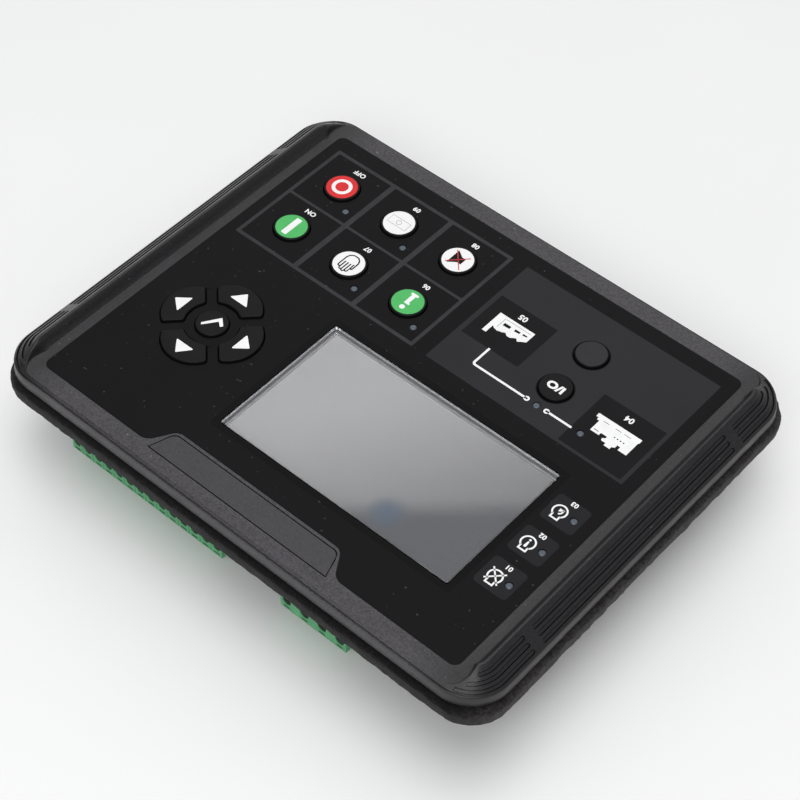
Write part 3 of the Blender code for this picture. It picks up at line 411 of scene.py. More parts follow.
def rectanglePoints(x, y, width, height, radius=0.0, steps=8):
    corners = [(x - width / 2, y - height / 2), (x + width / 2, y - height / 2),
               (x + width / 2, y + height / 2), (x - width / 2, y + height / 2)]
    return roundedCorners(corners, [radius] * 4, steps)


def boxPoints(left, right, low, high, radius=0.0):
    # rectangle from its sides, in millimetres
    return rectanglePoints((left + right) / 2 * mm, (low + high) / 2 * mm, (right - left) * mm, (high - low) * mm,
                           radius * mm)


def atPlace(points, x, y, quarters=0):
    cosine, sine = math.cos(quarters * quarterTurn), math.sin(quarters * quarterTurn)
    return [(x + px * cosine - py * sine, y + px * sine + py * cosine) for px, py in points]


def movedBy(points, x, y):
    # points in millimetres, about a place in millimetres
    return [((x + px) * mm, (y + py) * mm) for px, py in points]


def softCorner(start, corner, end, shares):
    # points on a curve that leaves the start and reaches the end in the directions of the corner
    points = []
    for share in shares:
        low, middle, high = (1 - share) ** 2, 2 * share * (1 - share), share ** 2
        points.append((low * start[0] + middle * corner[0] + high * end[0],
                       low * start[1] + middle * corner[1] + high * end[1]))
    return points


# Meshes and pieces

def tidyMesh(mesh):
    work = bmesh.new()
    work.from_mesh(mesh)
    bmesh.ops.remove_doubles(work, verts=work.verts, dist=0.0000005)
    bmesh.ops.recalc_face_normals(work, faces=work.faces)
    work.to_mesh(mesh)
    work.free()
    return mesh


def settledMesh(sketch):
    # what an object shows with its filling or modifiers applied; the object goes
    bpy.context.view_layer.update()
    mesh = bpy.data.meshes.new_from_object(sketch.evaluated_get(bpy.context.evaluated_depsgraph_get()))
    bpy.data.objects.remove(sketch)
    return mesh


def flatMesh(name, loops, low, high):
    # outlines with holes, filled and thickened between two heights
    curve = bpy.data.curves.new(name, "CURVE")
    curve.dimensions = "2D"
    curve.fill_mode = "BOTH"
    curve.extrude = (high - low) / 2
    for loop in loops:
        spline = curve.splines.new("POLY")
        spline.points.add(len(loop) - 1)
        for point, (x, y) in zip(spline.points, loop):
            point.co = (x, y, 0.0, 1.0)
        spline.use_cyclic_u = True
    mesh = settledMesh(addObject(name + "Sketch", curve))
    mesh.transform(Matrix.Translation((0.0, 0.0, (low + high) / 2)))
    bpy.data.curves.remove(curve)
    return tidyMesh(mesh)


def loftMesh(name, rings, closed=False):
    work = bmesh.new()
    rows = [[work.verts.new(point) for point in ring] for ring in rings]
    pairs = list(zip(rows, rows[1:]))
    if closed:
        pairs.append((rows[-1], rows[0]))
    for low, high in pairs:
        for index in range(len(low)):
            after = (index + 1) % len(low)
            work.faces.new((low[index], low[after], high[after], high[index]))
    if not closed:
        work.faces.new(list(reversed(rows[0])))
        work.faces.new(rows[-1])
    bmesh.ops.recalc_face_normals(work, faces=work.faces)
    mesh = bpy.data.meshes.new(name)
    work.to_mesh(mesh)
    work.free()
    return mesh


def turnedMesh(name, profile, x, y, steps=56):
    # (radius, height) points from the top middle down to the bottom middle
    rings = []
    for radius, height in profile:
        rings.append([(px, py, height) for px, py in circlePoints(x, y, max(radius, 0.000001), steps)])
    return loftMesh(name, rings)


def joinMeshes(name, meshes):
    work = bmesh.new()
    for mesh in meshes:
        work.from_mesh(mesh)
        bpy.data.meshes.remove(mesh)
    joined = bpy.data.meshes.new(name)
    work.to_mesh(joined)
    work.free()
    return joined


def strokeMesh(points, width, low, high, closed=False):
    # a printed line of even width with mitred corners
    points = [Vector(point) for point in points]
    rings = []
    for index, here in enumerate(points):
        before = points[index - 1] if closed or index else None
        after = points[(index + 1) % len(points)] if closed or index < len(points) - 1 else None
        first = (here - before).normalized() if before is not None else (after - here).normalized()
        second = (after - here).normalized() if after is not None else first
        normal = Vector((-first.y - second.y, first.x + second.x)).normalized()
        reach = width / 2 / max(normal.dot(Vector((-first.y, first.x))), 0.35)
        left, right = here + normal * reach, here - normal * reach
        rings.append([(*left, low), (*right, low), (*right, high), (*left, high)])
    return loftMesh("stroke", rings, closed)


def letterMesh(words, x, y, capHeight, low, high, weight=0.03, width=1.0):
    # plain figures with the built-in face, centred on a place
    curve = bpy.data.curves.new("letters", "FONT")
    curve.body = words
    curve.size = 1.0
    curve.offset = weight
    curve.extrude = 0.5
    curve.space_character = 1.05
    curve.resolution_u = 6
    mesh = settledMesh(addObject("lettersSketch", curve))
    bpy.data.curves.remove(curve)
    xs = [vert.co.x for vert in mesh.vertices]
    ys = [vert.co.y for vert in mesh.vertices]
    scale = capHeight / (max(ys) - min(ys))
    centre = Vector(((min(xs) + max(xs)) / 2, (min(ys) + max(ys)) / 2, 0.0))
    mesh.transform(Matrix.Diagonal((scale * width, scale, high - low, 1.0)) @ Matrix.Translation(-centre))
    mesh.transform(Matrix.Translation((x, y, (low + high) / 2)))
    return mesh


def cutMesh(name, mesh, cutters, union=()):
    # Boolean on plain meshes, applied at once
    body = addObject(name, mesh)
    helpers = []
    for operation, tools in (("UNION", union), ("DIFFERENCE", cutters)):
        if not tools:
            continue
        group = bpy.data.collections.new(name + operation.title())
        for index, tool in enumerate(tools):
            helpers.append(bpy.data.objects.new("%sTool%d" % (name, index), tool))
            group.objects.link(helpers[-1])
        step = body.modifiers.new(operation, "BOOLEAN")
        step.operation = operation
        step.operand_type = "COLLECTION"
        step.collection = group
        step.solver = "EXACT"
    made = settledMesh(body)
    for helper in helpers:
        bpy.data.objects.remove(helper)
    return made


def addPiece(name, mesh, finish, body="controller", replaced=()):
    piece = addObject(name, mesh)
    mesh.name = name
    mesh.materials.clear()
    mesh.materials.append(materials[finish])
    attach(piece, body)
    if replaced:
        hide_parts(*replaced)
    return piece


def addFlat(name, loops, levels, finish, body="controller", replaced=()):
    return addPiece(name, flatMesh(name, loops, *levels), finish, body, replaced)


def smoothPiece(piece, angle=32.0):
    piece.data.shade_smooth()
    piece.data.set_sharp_from_angle(angle=math.radians(angle))


def softenPiece(piece, width, segments=2):
    bevel = piece.modifiers.new("softEdges", "BEVEL")
    bevel.width = width
    bevel.segments = segments
    bevel.limit_method = "ANGLE"
    bevel.angle_limit = math.radians(35.0)
    piece.data.shade_smooth()
    piece.modifiers.new("evenShade", "WEIGHTED_NORMAL").weight = 60


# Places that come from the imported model

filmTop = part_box("front_film")[1].z
padMiddle = middleOf("enter_key")
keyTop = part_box("enter_key")[1].z


# The moulded front

moulding = {
    "width": 0.209, "height": 0.1642, "corner": 0.015, "cornerSteps": 20,
    "faceZ": 0.0395, "rimZ": 0.0341, "rimRound": 0.0003, "flangeZ": 0.0321, "flangeInset": 0.0020,
    "shoulderOffset": 0.0020, "shoulderDrop": 0.0007, "wallDraft": 0.00025, "edgeRound": 0.00035,
    "edgeLine": 0.00045, "edgeLineSteps": (0.00006, 0.00010, 0.00026, 0.00030),
    "wingOffset": 0.0083, "wingSlope": 0.769, "wingDrop": 0.0019, "wingFoot": 0.0034, "footLeast": 0.0003,
    "fadeStart": 30.0, "fadeEnd": 92.0,
    "grooveHalf": 0.00076, "grooveDepth": 0.00040, "grooveTrench": 0.00065, "grooveOffset": 0.0018,
    "groovePitch": 0.00205, "grooveEnds": (70.0, 54.0, 34.0), "grooveTop": 0.0009,
    "grooveMiddle": 0.0493, "grooveBreak": 0.0040, "deckTop": 0.0387, "deckBottom": 0.0362,
    "seam": 0.00045, "badgeSeam": 0.00040,
    "casePocket": (0.1856, 0.1406), "pocketCorner": 0.0043, "overCut": 0.001,
}
overlay = {
    "width": 0.178, "height": 0.1471, "corner": 0.0025, "notchTop": 0.0412, "notchBottom": 0.0354,
    "notchDepth": 0.00945, "notchCorner": 0.0045, "thickness": 0.0005,
    "windowX": -0.0197, "windowY": 0.0246, "windowWidth": 0.0968, "windowHeight": 0.0564, "windowCorner": 0.0008,
}
badge = {"top": 0.0382, "bottom": 0.0352, "height": 0.0090, "rise": 0.00145, "corner": 0.0030,
         "topCorner": 0.0003, "thickness": 0.0010}
pipe = {"radius": 0.00124, "edge": 0.0002, "crown": ((0.0007, 0.00001), (0.00108, 0.00006)), "sunk": 0.00006,
        "collar": 0.0020, "stem": 0.00125, "hole": 0.0014}
wells = {"mode": 0.0069, "mimic": 0.0062, "enter": 0.00615, "arrowOuter": 0.01215, "arrowCentre": 0.0080,
         "arrowInner": 0.0093, "arrowSide": 0.00166, "arrowCorner": 0.0014, "gap": 0.00045}
roundKeys = {
    "info_key": ("mode", "capGreen", "key_green"), "manual_key": ("mode", "capWhite", "key_white"),
    "start_key": ("mode", "capGreen", "key_green"), "mute_key": ("mode", "capWhite", "key_white"),
    "auto_key": ("mode", "capWhite", "key_white"), "stop_key": ("mode", "capRed", "key_red"),
    "breaker_key": ("mimic", "", "key_black"), "blank_key": ("mimic", "keyGrey", "key_grey"),
    "enter_key": ("enter", "", "key_black"),
}
arrowKeys = {"up_key": 0, "left_key": 1, "down_key": 2, "right_key": 3}
pipeNames = [name for name in sorted(nodes) if name.startswith("light_pipe_")]


def filmOutline(grow=0.0):
    halfX = overlay["width"] / 2 + grow
    halfY = overlay["height"] / 2 + grow
    tilt = math.atan2(overlay["notchDepth"], overlay["notchTop"] - overlay["notchBottom"])
    shift = grow * math.tan(tilt / 2)
    top, bottom = overlay["notchTop"] - shift, overlay["notchBottom"] - shift
    low = halfY - overlay["notchDepth"]
    corner, notch = overlay["corner"] + grow, overlay["notchCorner"]
    corners = [(-halfX, -halfY), (halfX, -halfY), (halfX, halfY), (top, halfY), (bottom, low),
               (-bottom, low), (-top, halfY), (-halfX, halfY)]
    radii = [corner, corner, corner, notch + grow, notch - grow, notch - grow, notch + grow, corner]
    return roundedCorners(corners, radii, 12)


def badgeOutline(grow=0.0):
    high = overlay["height"] / 2 + badge["rise"] + grow
    low = high - badge["height"] - 2 * grow
    corners = [(-badge["bottom"] - grow, low), (badge["bottom"] + grow, low),
               (badge["top"] + grow, high), (-badge["top"] - grow, high)]
    return roundedCorners(corners, [badge["corner"]] * 2 + [badge["topCorner"]] * 2, 12)


def alongLine(start, direction, middle, radius):
    # where a line leaves a circle
    gap = start - middle
    half = gap.dot(direction)
    root = math.sqrt(half * half - gap.dot(gap) + radius * radius)
    return start + direction * (root - half)


def arrowOutline(inset, steps=6):
    # ring segment with 45 degree sides, pointing to +Y about the pad's middle
    outer, inner = wells["arrowOuter"] - inset, wells["arrowInner"] + inset
    fillet = max(wells["arrowCorner"] - inset, wells["arrowCorner"] / 3)
    crown, pad = Vector((0.0, wells["arrowCentre"])), Vector((0.0, 0.0))
    side, normal = Vector((1.0, 1.0)).normalized(), Vector((-1.0, 1.0)).normalized()
    offset = normal * (wells["arrowSide"] + inset + fillet)
    high = alongLine(offset, side, crown, outer - fillet)
    low = alongLine(offset, side, pad, inner + fillet)
    square = math.radians(-45.0)
    top = math.atan2(high.y - crown.y, high.x - crown.x)
    foot = math.atan2(-low.y, -low.x)
    right = arcPoints(low.x, low.y, fillet, foot, square, steps)
    right += arcPoints(high.x, high.y, fillet, square, top, steps)
    crest = arcPoints(0.0, wells["arrowCentre"], outer, top, math.pi - top, 4 * steps)[1:-1]
    left = [(-x, y) for x, y in reversed(right)]
    start = math.atan2(low.y, low.x)
    hollow = arcPoints(0.0, 0.0, inner, math.pi - start, start, 3 * steps)[1:-1]
    return right + crest + left + hollow


def keyLoops():
    loops = [circleAt(name, wells[look[0]], 72) for name, look in roundKeys.items()]
    return loops + [atPlace(arrowOutline(0.0), padMiddle.x, padMiddle.y, turns) for turns in arrowKeys.values()]


def pipeLoops(names=pipeNames):
    return [circleAt(name, pipe["hole"], 28) for name in names]


def windowLoop(grow=0.0):
    return rectanglePoints(overlay["windowX"], overlay["windowY"], overlay["windowWidth"] + 2 * grow,
                           overlay["windowHeight"] + 2 * grow, overlay["windowCorner"], 6)


def fadeAt(angle):
    # 1 on the sides, falling smoothly to 0 where a corner meets the top or bottom
    ratio = (angle - moulding["fadeStart"]) / (moulding["fadeEnd"] - moulding["fadeStart"])
    ratio = min(max(ratio, 0.0), 1.0)
    return 1.0 - ratio * ratio * (3.0 - 2.0 * ratio)


def slopeAt(angle):
    side = fadeAt(angle)
    edge = moulding["faceZ"] - moulding["shoulderDrop"] * (1.0 - side) - moulding["wingDrop"] * side
    rise = moulding["wingSlope"] * side + moulding["shoulderDrop"] / moulding["shoulderOffset"] * (1.0 - side)
    return edge, rise


def mouldingSection(angle):
    # (inward, height) points from the foot of the wall over the wing to the flat band
    side = fadeAt(angle)
    edge, rise = slopeAt(angle)
    faceZ, rimZ, rimRound = moulding["faceZ"], moulding["rimZ"], moulding["rimRound"]
    soft, draft, flange = moulding["edgeRound"], moulding["wallDraft"], moulding["flangeInset"]
    crest = moulding["shoulderOffset"] + (moulding["wingOffset"] - moulding["shoulderOffset"]) * side
    height = edge + rise * crest - faceZ
    fullHeight = moulding["wingSlope"] * moulding["wingOffset"] - moulding["wingDrop"]
    run = moulding["footLeast"] + (moulding["wingFoot"] - moulding["footLeast"]) * height / fullHeight
    points = [(flange, moulding["flangeZ"]), (flange, rimZ - 0.0002), (flange - 0.0002, rimZ), (rimRound, rimZ),
              (rimRound * 0.3, rimZ + rimRound * 0.3), (0.0, rimZ + rimRound), (draft * 0.9, edge - soft * 1.2)]
    outer = (draft + soft, edge + rise * (draft + soft))
    points += softCorner((draft, edge - soft), (draft, edge + rise * draft), outer, (0.0, 0.25, 0.5, 0.75, 1.0))
    line = moulding["edgeLine"] * (1.0 - side)
    for step, depth in zip(moulding["edgeLineSteps"], (0.0, line, line, 0.0)):
        across = outer[0] + step
        points.append((across, edge + rise * across - depth))
    for share in (0.5, 0.84):
        across = across + (crest * 0.86 - across) * share
        points.append((across, edge + rise * across))
    # rounded crest, between the slope and the fall to the film
    slopeEnd = (crest * 0.91, edge + rise * (crest * 0.91))
    fallStart = (crest + run * 0.16, faceZ + height * 0.925)
    points += softCorner(slopeEnd, (crest, faceZ + height * 1.01), fallStart, (0.0, 0.2, 0.4, 0.6, 0.8, 1.0))
    for share in (0.26, 0.36, 0.46, 0.56, 0.66, 0.76, 0.86, 0.94, 1.0):
        points.append((crest + run * share, faceZ + height * math.cos(share * quarterTurn) ** 2))
    return points


def edgePoint(quadrant, angle, inward):
    radius = moulding["corner"] - inward
    across = moulding["width"] / 2 - moulding["corner"] + radius * math.cos(math.radians(angle))
    up = moulding["height"] / 2 - moulding["corner"] + radius * math.sin(math.radians(angle))
    return quadrant[0] * across, quadrant[1] * up


def mouldingStations():
    steps = moulding["cornerSteps"]
    angles = [90.0 * step / steps for step in range(steps + 1)]
    for quadrant in ((1, 1), (-1, 1), (-1, -1), (1, -1)):
        forward = quadrant[0] * quadrant[1] > 0
        for angle in (angles if forward else reversed(angles)):
            yield quadrant, angle


def grooveMesh(stations):
    # flat-floored groove, deeper along both edges, with rounded ends, from (middle, across, up) frames on its path
    half, depth, top = moulding["grooveHalf"], moulding["grooveDepth"], moulding["grooveTop"]
    deep = depth + moulding["grooveTrench"]
    section = [(-1.0, top), (-1.0, -deep), (-0.66, -deep), (-0.62, -depth),
               (0.62, -depth), (0.66, -deep), (1.0, -deep), (1.0, top)]
    ends = ((1.0, 0.05), (0.95, 0.32), (0.80, 0.60), (0.50, 0.87))
    first, last = stations[0], stations[-1]
    ahead = (stations[1][0] - first[0]).normalized()
    behind = (last[0] - stations[-2][0]).normalized()
    frames = [(first[0] - ahead * half * reach, *first[1:], wide) for reach, wide in ends]
    frames += [(*station, 1.0) for station in stations]
    frames += [(last[0] + behind * half * reach, *last[1:], wide) for reach, wide in reversed(ends)]
    rings = [[place + across * (x * half * wide) + up * height for x, height in section]
             for place, across, up, wide in frames]
    return loftMesh("groove", rings)


def grooveFrame(quadrant, angle, inward, y=None):
    # middle of the groove, the direction up the slope, and the direction out of the surface
    edge, rise = slopeAt(angle)
    x, height = edgePoint(quadrant, angle, inward)
    if y is not None:
        height = y
    turn = math.radians(angle)
    inside = Vector((-quadrant[0] * math.cos(turn), -quadrant[1] * math.sin(turn), 0.0))
    across = (inside + Vector((0.0, 0.0, rise))).normalized()
    up = (Vector((0.0, 0.0, 1.0)) - inside * rise).normalized()
    return Vector((x, height, edge + rise * inward)), across, up


def grooveTools():
    tools = []
    half = moulding["grooveHalf"]
    start = moulding["grooveMiddle"] + moulding["grooveBreak"]
    for row, last in enumerate(moulding["grooveEnds"]):
        inward = moulding["grooveOffset"] + row * moulding["groovePitch"]
        for side in (1, -1):
            middle = moulding["grooveMiddle"] - half
            tools.append(grooveMesh([grooveFrame((side, 1), 0.0, inward, y) for y in (-middle, 0.0, middle)]))
            for end in (1, -1):
                path = [grooveFrame((side, end), 0.0, inward, end * (start + half))]
                steps = math.ceil(last / 4.0)
                path += [grooveFrame((side, end), last * step / steps, inward) for step in range(steps + 1)]
                tools.append(grooveMesh(path))
    return tools


def buildMoulding():
    sections = [[(*edgePoint(quadrant, angle, inward), height) for inward, height in mouldingSection(angle)]
                for quadrant, angle in mouldingStations()]
    blank = loftMesh("frontMoulding", list(zip(*sections)))
    faceZ, over = moulding["faceZ"], moulding["overCut"]
    above, deck, under = faceZ + over, moulding["deckTop"], moulding["deckBottom"]
    seam, badgeSeam, plateBack = moulding["seam"], moulding["badgeSeam"], faceZ - badge["thickness"]
    pocket = rectanglePoints(0.0, 0.0, *moulding["casePocket"], moulding["pocketCorner"])
    tools = [flatMesh("filmRecess", [filmOutline(seam)], deck, above),
             flatMesh("badgeRecess", [badgeOutline(badgeSeam)], plateBack - badgeSeam, above),
             flatMesh("casePocket", [pocket], moulding["flangeZ"] - over, under),
             flatMesh("windowCut", [windowLoop(seam)], under - over, deck + over),
             flatMesh("wellCuts", keyLoops(), under - over, deck + over),
             flatMesh("pipeCuts", pipeLoops(), under - over, deck + over)]
    front = addPiece("frontMoulding", cutMesh("frontMoulding", blank, tools + grooveTools()), "bezelPlastic",
                     replaced=["front_bezel"])
    smoothPiece(front, 34.0)
    plate = addFlat("badgePlate", [badgeOutline()], (plateBack, faceZ), "badgePlastic",
                    replaced=["badge_plate"])
    softenPiece(plate, 0.00012)


buildMoulding()
print("moulded front made")


# Overlay film with its printing, from the film's surface up

ink = {"sunk": 0.00002, "lift": 0.000012, "step": 0.000010}
# where the black ring in the seam round the film sits: a painted shade
seamShadeRing = {"clear": 0.00003, "under": 0.00002, "below": 0.00006}


def printLevel(level):
    return filmTop - ink["sunk"], filmTop + ink["lift"] + level * ink["step"]


def addPrint(name, loops, level, finish):
    addFlat(name, loops, printLevel(level), finish)


def addWhitePrint(name, parts):
    addPiece(name, joinMeshes(name, parts), "whiteInk")


def buildFilm():
    film = addFlat("overlayFilm", [filmOutline(), windowLoop()] + keyLoops() + pipeLoops(),
                   (filmTop - overlay["thickness"], filmTop), "overlayFilm",
                   replaced=["front_film"])
    softenPiece(film, 0.00007, 1)
    # a black ring down in the seam round the film, a painted shade that makes the gap look dark
    seamShade = addFlat("filmAdhesive", [filmOutline(moulding["seam"] - seamShadeRing["clear"]), filmOutline(seamShadeRing["under"])],
                       (moulding["deckTop"], filmTop - seamShadeRing["below"]), "blackInk")
    smoothPiece(seamShade)


def buildPrintedAreas():
    grid = {"left": 3.4, "right": 85.1, "low": -67.6, "high": -13.2, "line": 1.4, "corner": 0.5,
            "rowLow": -40.9, "rowHigh": -39.8, "columns": ((29.8, 31.8), (56.7, 58.8)), "cellCorner": 0.35}
    cells = []
    edges = [grid["left"] + grid["line"]] + [x for pair in grid["columns"] for x in pair]
    edges.append(grid["right"] - grid["line"])
    for left, right in zip(edges[::2], edges[1::2]):
        cells.append(boxPoints(left, right, grid["rowHigh"], grid["high"] - grid["line"], grid["cellCorner"]))
        cells.append(boxPoints(left, right, grid["low"] + grid["line"], grid["rowLow"], grid["cellCorner"]))
    outer = boxPoints(grid["left"], grid["right"], grid["low"], grid["high"], grid["corner"])
    addPrint("keyGridPrint", [outer] + cells, 0, "gridInk")

    # the field print stops short of the key wells, so a ring of black film shows round them: a painted shade
    field = {"outline": boxPoints(-84.5, -2.7, -67.5, -13.2, 0.3), "margin": 0.0004}
    holes = [circleAt(name, wells["mimic"] + field["margin"], 72) for name in ("breaker_key", "blank_key")]
    holes += pipeLoops(["light_pipe_generator", "light_pipe_breaker"])
    addPrint("mimicFieldPrint", [field["outline"]] + holes, 0, "fieldInk")
    tiles = [boxPoints(-83.0, -57.8, -39.6, -14.4, 0.3), boxPoints(-28.9, -4.6, -51.3, -29.5, 0.3)]
    addPrint("mimicTilesPrint", tiles + pipeLoops(["light_pipe_generator"]), 1, "tileInk")

    rows = ((33.9, 46.1), (18.2, 29.6), (2.0, 13.6))
    status = [boxPoints(-85.0, -72.1, bottom, top, 1.5) for bottom, top in rows]
    signals = pipeLoops(["light_pipe_alarm", "light_pipe_warning", "light_pipe_running"])
    addPrint("statusTilesPrint", status + signals, 0, "statusInk")

    border = {"width": 0.0023, "corner": 0.0018}
    outer = rectanglePoints(overlay["windowX"], overlay["windowY"], overlay["windowWidth"] + 2 * border["width"],
                            overlay["windowHeight"] + 2 * border["width"], border["corner"])
    addPrint("windowBorderPrint", [outer, windowLoop()], 0, "frameInk")


def buildMimicLines():
    look = {"y": -21.0, "width": 0.85, "start": -58.3, "rings": (-48.0, -39.7), "turn": -16.8,
            "end": -29.8, "corner": 1.0, "ringOuter": 1.05, "ringInner": 0.42}
    levels, y, corner, inner = printLevel(2.5), look["y"], look["corner"], look["ringInner"]
    bend = arcPoints(look["turn"] - corner, y - corner, corner, quarterTurn, 0.0, 6)
    paths = [[(look["start"], y), (look["rings"][0] - inner, y)],
             [(look["rings"][1] + inner, y)] + bend + [(look["turn"], look["end"])]]
    parts = [strokeMesh(movedBy(path, 0.0, 0.0), look["width"] * mm, *levels) for path in paths]
    for x in look["rings"]:
        loops = [circlePoints(x * mm, y * mm, look["ringOuter"] * mm, 36),
                 circlePoints(x * mm, y * mm, inner * mm, 24)]
        parts.append(flatMesh("terminalRing", loops, *levels))
    addWhitePrint("mimicLines", parts)


# engine on its base frame
engine = {
    "place": (-69.9, -27.0),
    "outline": [(-8.6, -4.9), (8.6, -4.9), (8.6, -3.3), (7.6, -3.3), (7.6, -2.3), (6.6, -2.3), (6.6, 2.6),
                (3.1, 2.6), (3.1, 1.4), (0.6, 1.4), (0.6, 2.2), (1.6, 2.9), (1.2, 3.8), (-0.6, 3.8),
                (-0.6, 4.9), (-3.0, 4.9), (-3.0, 3.9), (-4.0, 3.3), (-4.0, 2.0), (-5.2, 2.0), (-5.2, 3.5),
                (-8.6, 3.5), (-8.6, -3.1), (-8.9, -3.1), (-8.9, -4.9)],
    "vents": [(-5.0, 0.0), (-3.8, 0.0), (-2.6, 0.0), (-1.4, 0.0)],
    "bars": [(-5.6, -3.0, -3.2, -3.0), (-1.8, 0.6, -3.2, -3.0), (3.0, 5.4, -3.2, -3.0), (4.0, 5.9, 1.3, 1.6)],
}
# workshop with a chimney and three windows
workshop = {
    "place": (-16.8, -39.8),
    "outline": [(-7.5, -5.0), (7.5, -5.0), (7.5, 5.1), (5.8, 5.1), (5.8, 1.2), (4.9, 1.9), (3.4, 2.2),
                (1.6, 1.7), (0.5, 1.1), (-0.6, 1.9), (-2.0, 1.9), (-3.2, 1.0), (-3.9, 0.7), (-4.8, 1.6),
                (-6.0, 0.8), (-7.5, -0.2)],
    "vents": [],
    "windows": [(-6.2, -4.4, -2.5, -1.7), (-3.3, -1.1, -2.4, -1.3), (0.6, 3.4, -2.3, -0.9)],
    "bars": [(4.3, 4.45, -4.0, 0.9), (-6.8, 3.9, -3.9, -3.75)],
}


def buildPictures():
    parts = []
    for look in (engine, workshop):
        loops = [look["outline"]] + [circlePoints(x, y, 0.28, 12) for x, y in look["vents"]]
        for left, right, foot, head in look.get("windows", []):
            loops.append([(left, foot), (right, foot), (right, head), (left, head - 0.2)])
        for left, right, foot, head in look["bars"]:
            loops.append([(left, foot), (right, foot), (right, head), (left, head)])
        parts.append(flatMesh("picture", [movedBy(loop, *look["place"]) for loop in loops], *printLevel(2.5)))
    addWhitePrint("mimicPictures", parts)


def buildStatusMarks():
    # open rings with a short post, around a cross, a bar over a dot, and a turning arrow
    look = {"radius": 2.45, "line": 0.6, "gap": 0.62, "places": ((-77.0, 40.7), (-76.6, 24.1), (-76.5, 8.1)),
            "post": [(-1.35, 1.7), (-1.35, 3.35), (1.35, 3.35), (1.35, 1.7)], "postLine": 0.62, "signLine": 0.55}
    ring = arcPoints(0.0, 0.0, look["radius"], quarterTurn + look["gap"], quarterTurn - look["gap"] + fullTurn, 40)
    signs = [
        {"lines": [[(-2.55, -2.7), (2.55, 2.5)], [(2.55, -2.7), (-2.55, 2.5)]], "areas": []},
        {"lines": [], "areas": [[(-0.28, -0.45), (0.28, -0.45), (0.5, 1.6), (0.3, 2.0), (-0.3, 2.0), (-0.5, 1.6)],
                                circlePoints(0.0, -1.15, 0.42, 18)]},
        {"lines": [arcPoints(0.4, -0.2, 1.35, 1.9, 3.9, 10)],
         "areas": [[(-1.5, -1.0), (0.55, -1.05), (0.45, 0.35)]]},
    ]
    levels = printLevel(2.5)
    parts = []
    for (x, y), sign in zip(look["places"], signs):
        strokes = [(ring, look["line"]), (look["post"], look["postLine"])]
        strokes += [(line, look["signLine"]) for line in sign["lines"]]
        parts += [strokeMesh(movedBy(line, x, y), width * mm, *levels) for line, width in strokes]
        parts += [flatMesh("sign", [movedBy(area, x, y)], *levels) for area in sign["areas"]]
    addWhitePrint("statusMarks", parts)


def buildFigures():
    figures = (("06", 17.2, -36.9, 2.1), ("07", 44.0, -36.9, 2.1), ("ON", 71.0, -36.9, 2.1),
               ("08", 17.0, -63.1, 2.1), ("09", 44.0, -63.1, 2.1), ("OFF", 71.1, -63.1, 2.1),
               ("01", -78.6, 35.6, 1.9), ("02", -78.6, 19.3, 1.9), ("03", -78.6, 3.1, 1.9),
               ("04", -70.5, -36.0, 2.5), ("05", -16.8, -47.7, 2.5))
    low, high = printLevel(2.5)
    parts = [letterMesh(words, x * mm, y * mm, cap * mm, low, high, 0.035) for words, x, y, cap in figures]
    addWhitePrint("faceFigures", parts)


buildFilm()
buildPrintedAreas()
buildMimicLines()
buildPictures()
buildStatusMarks()
buildFigures()
print("film and printing made")


# Keys, caps and their symbols

# caps are smaller than the keys: the black key edge round each cap is partly the real key and partly a painted
# shade ring
keyShape = {"round": 0.00040, "dish": 0.00006, "collarTop": 0.0359, "flangeLow": 0.0349, "flangeReach": 0.0008,
            "capRadius": {"mode": 0.00572, "mimic": 0.00545}, "capRise": 0.00010, "capRound": 0.00022,
            "capFlat": 0.6, "capFoot": 0.0002}


def keyProfile(radius, well):
    soft, dish, collar = keyShape["round"], keyShape["dish"], keyShape["collarTop"]
    reach = well + keyShape["flangeReach"]
    profile = [(0.0, keyTop - dish), (radius * 0.5, keyTop - dish * 0.8), (radius - soft * 1.4, keyTop - 0.00001)]
    profile += arcPoints(radius - soft, keyTop - soft, soft, quarterTurn, 0.0, 6)
    return profile + [(radius, collar + 0.0001), (radius + 0.0001, collar), (reach, collar),
                      (reach, keyShape["flangeLow"]), (0.0, keyShape["flangeLow"])]


def capProfile(rim):
    top, soft, flat = keyTop + keyShape["capRise"], keyShape["capRound"], keyShape["capFlat"]
    profile = [(0.0, top - 0.00003), (rim * 0.6, top - 0.00002), (rim - soft * 1.5, top)]
    for x, rise in arcPoints(rim - soft, 0.0, soft, quarterTurn, 0.0, 5):
        profile.append((x, top + (rise - soft) * flat))
    foot = keyTop - keyShape["capFoot"]
    return profile + [(rim, foot), (0.0, foot)]


def addKey(key, part, mesh, finish, replaced=()):
    return addPiece(key.replace("_key", part), mesh, finish, key + "_body", replaced)


def buildKeys():
    for name, (kind, cap, slot) in roundKeys.items():
        place = middleOf(name)
        profile = keyProfile(wells[kind] - wells["gap"], wells[kind])
        mesh = turnedMesh(name, profile, place.x, place.y, 64)
        smoothPiece(addKey(name, "Key", mesh, "keyBlack", [name]), 50.0)
        if cap:
            mesh = turnedMesh(name, capProfile(keyShape["capRadius"][kind]), place.x, place.y, 64)
            smoothPiece(addKey(name, "Cap", mesh, cap), 50.0)

    gap, soft, collar = wells["gap"], keyShape["round"], keyShape["collarTop"]
    levels = [(-keyShape["flangeReach"], keyShape["flangeLow"]), (-keyShape["flangeReach"], collar), (gap, collar)]
    levels += arcPoints(gap + soft, keyTop - soft, soft, math.pi, quarterTurn, 5)
    for name, turns in arrowKeys.items():
        rings = [[(*point, height) for point in atPlace(arrowOutline(inset), padMiddle.x, padMiddle.y, turns)]
                 for inset, height in levels]
        smoothPiece(addKey(name, "Key", loftMesh(name, rings), "keyBlack", [name]), 50.0)


def aboutKey(key, points):
    place = middleOf(key)
    return [(place.x + x * mm, place.y + y * mm) for x, y in points]


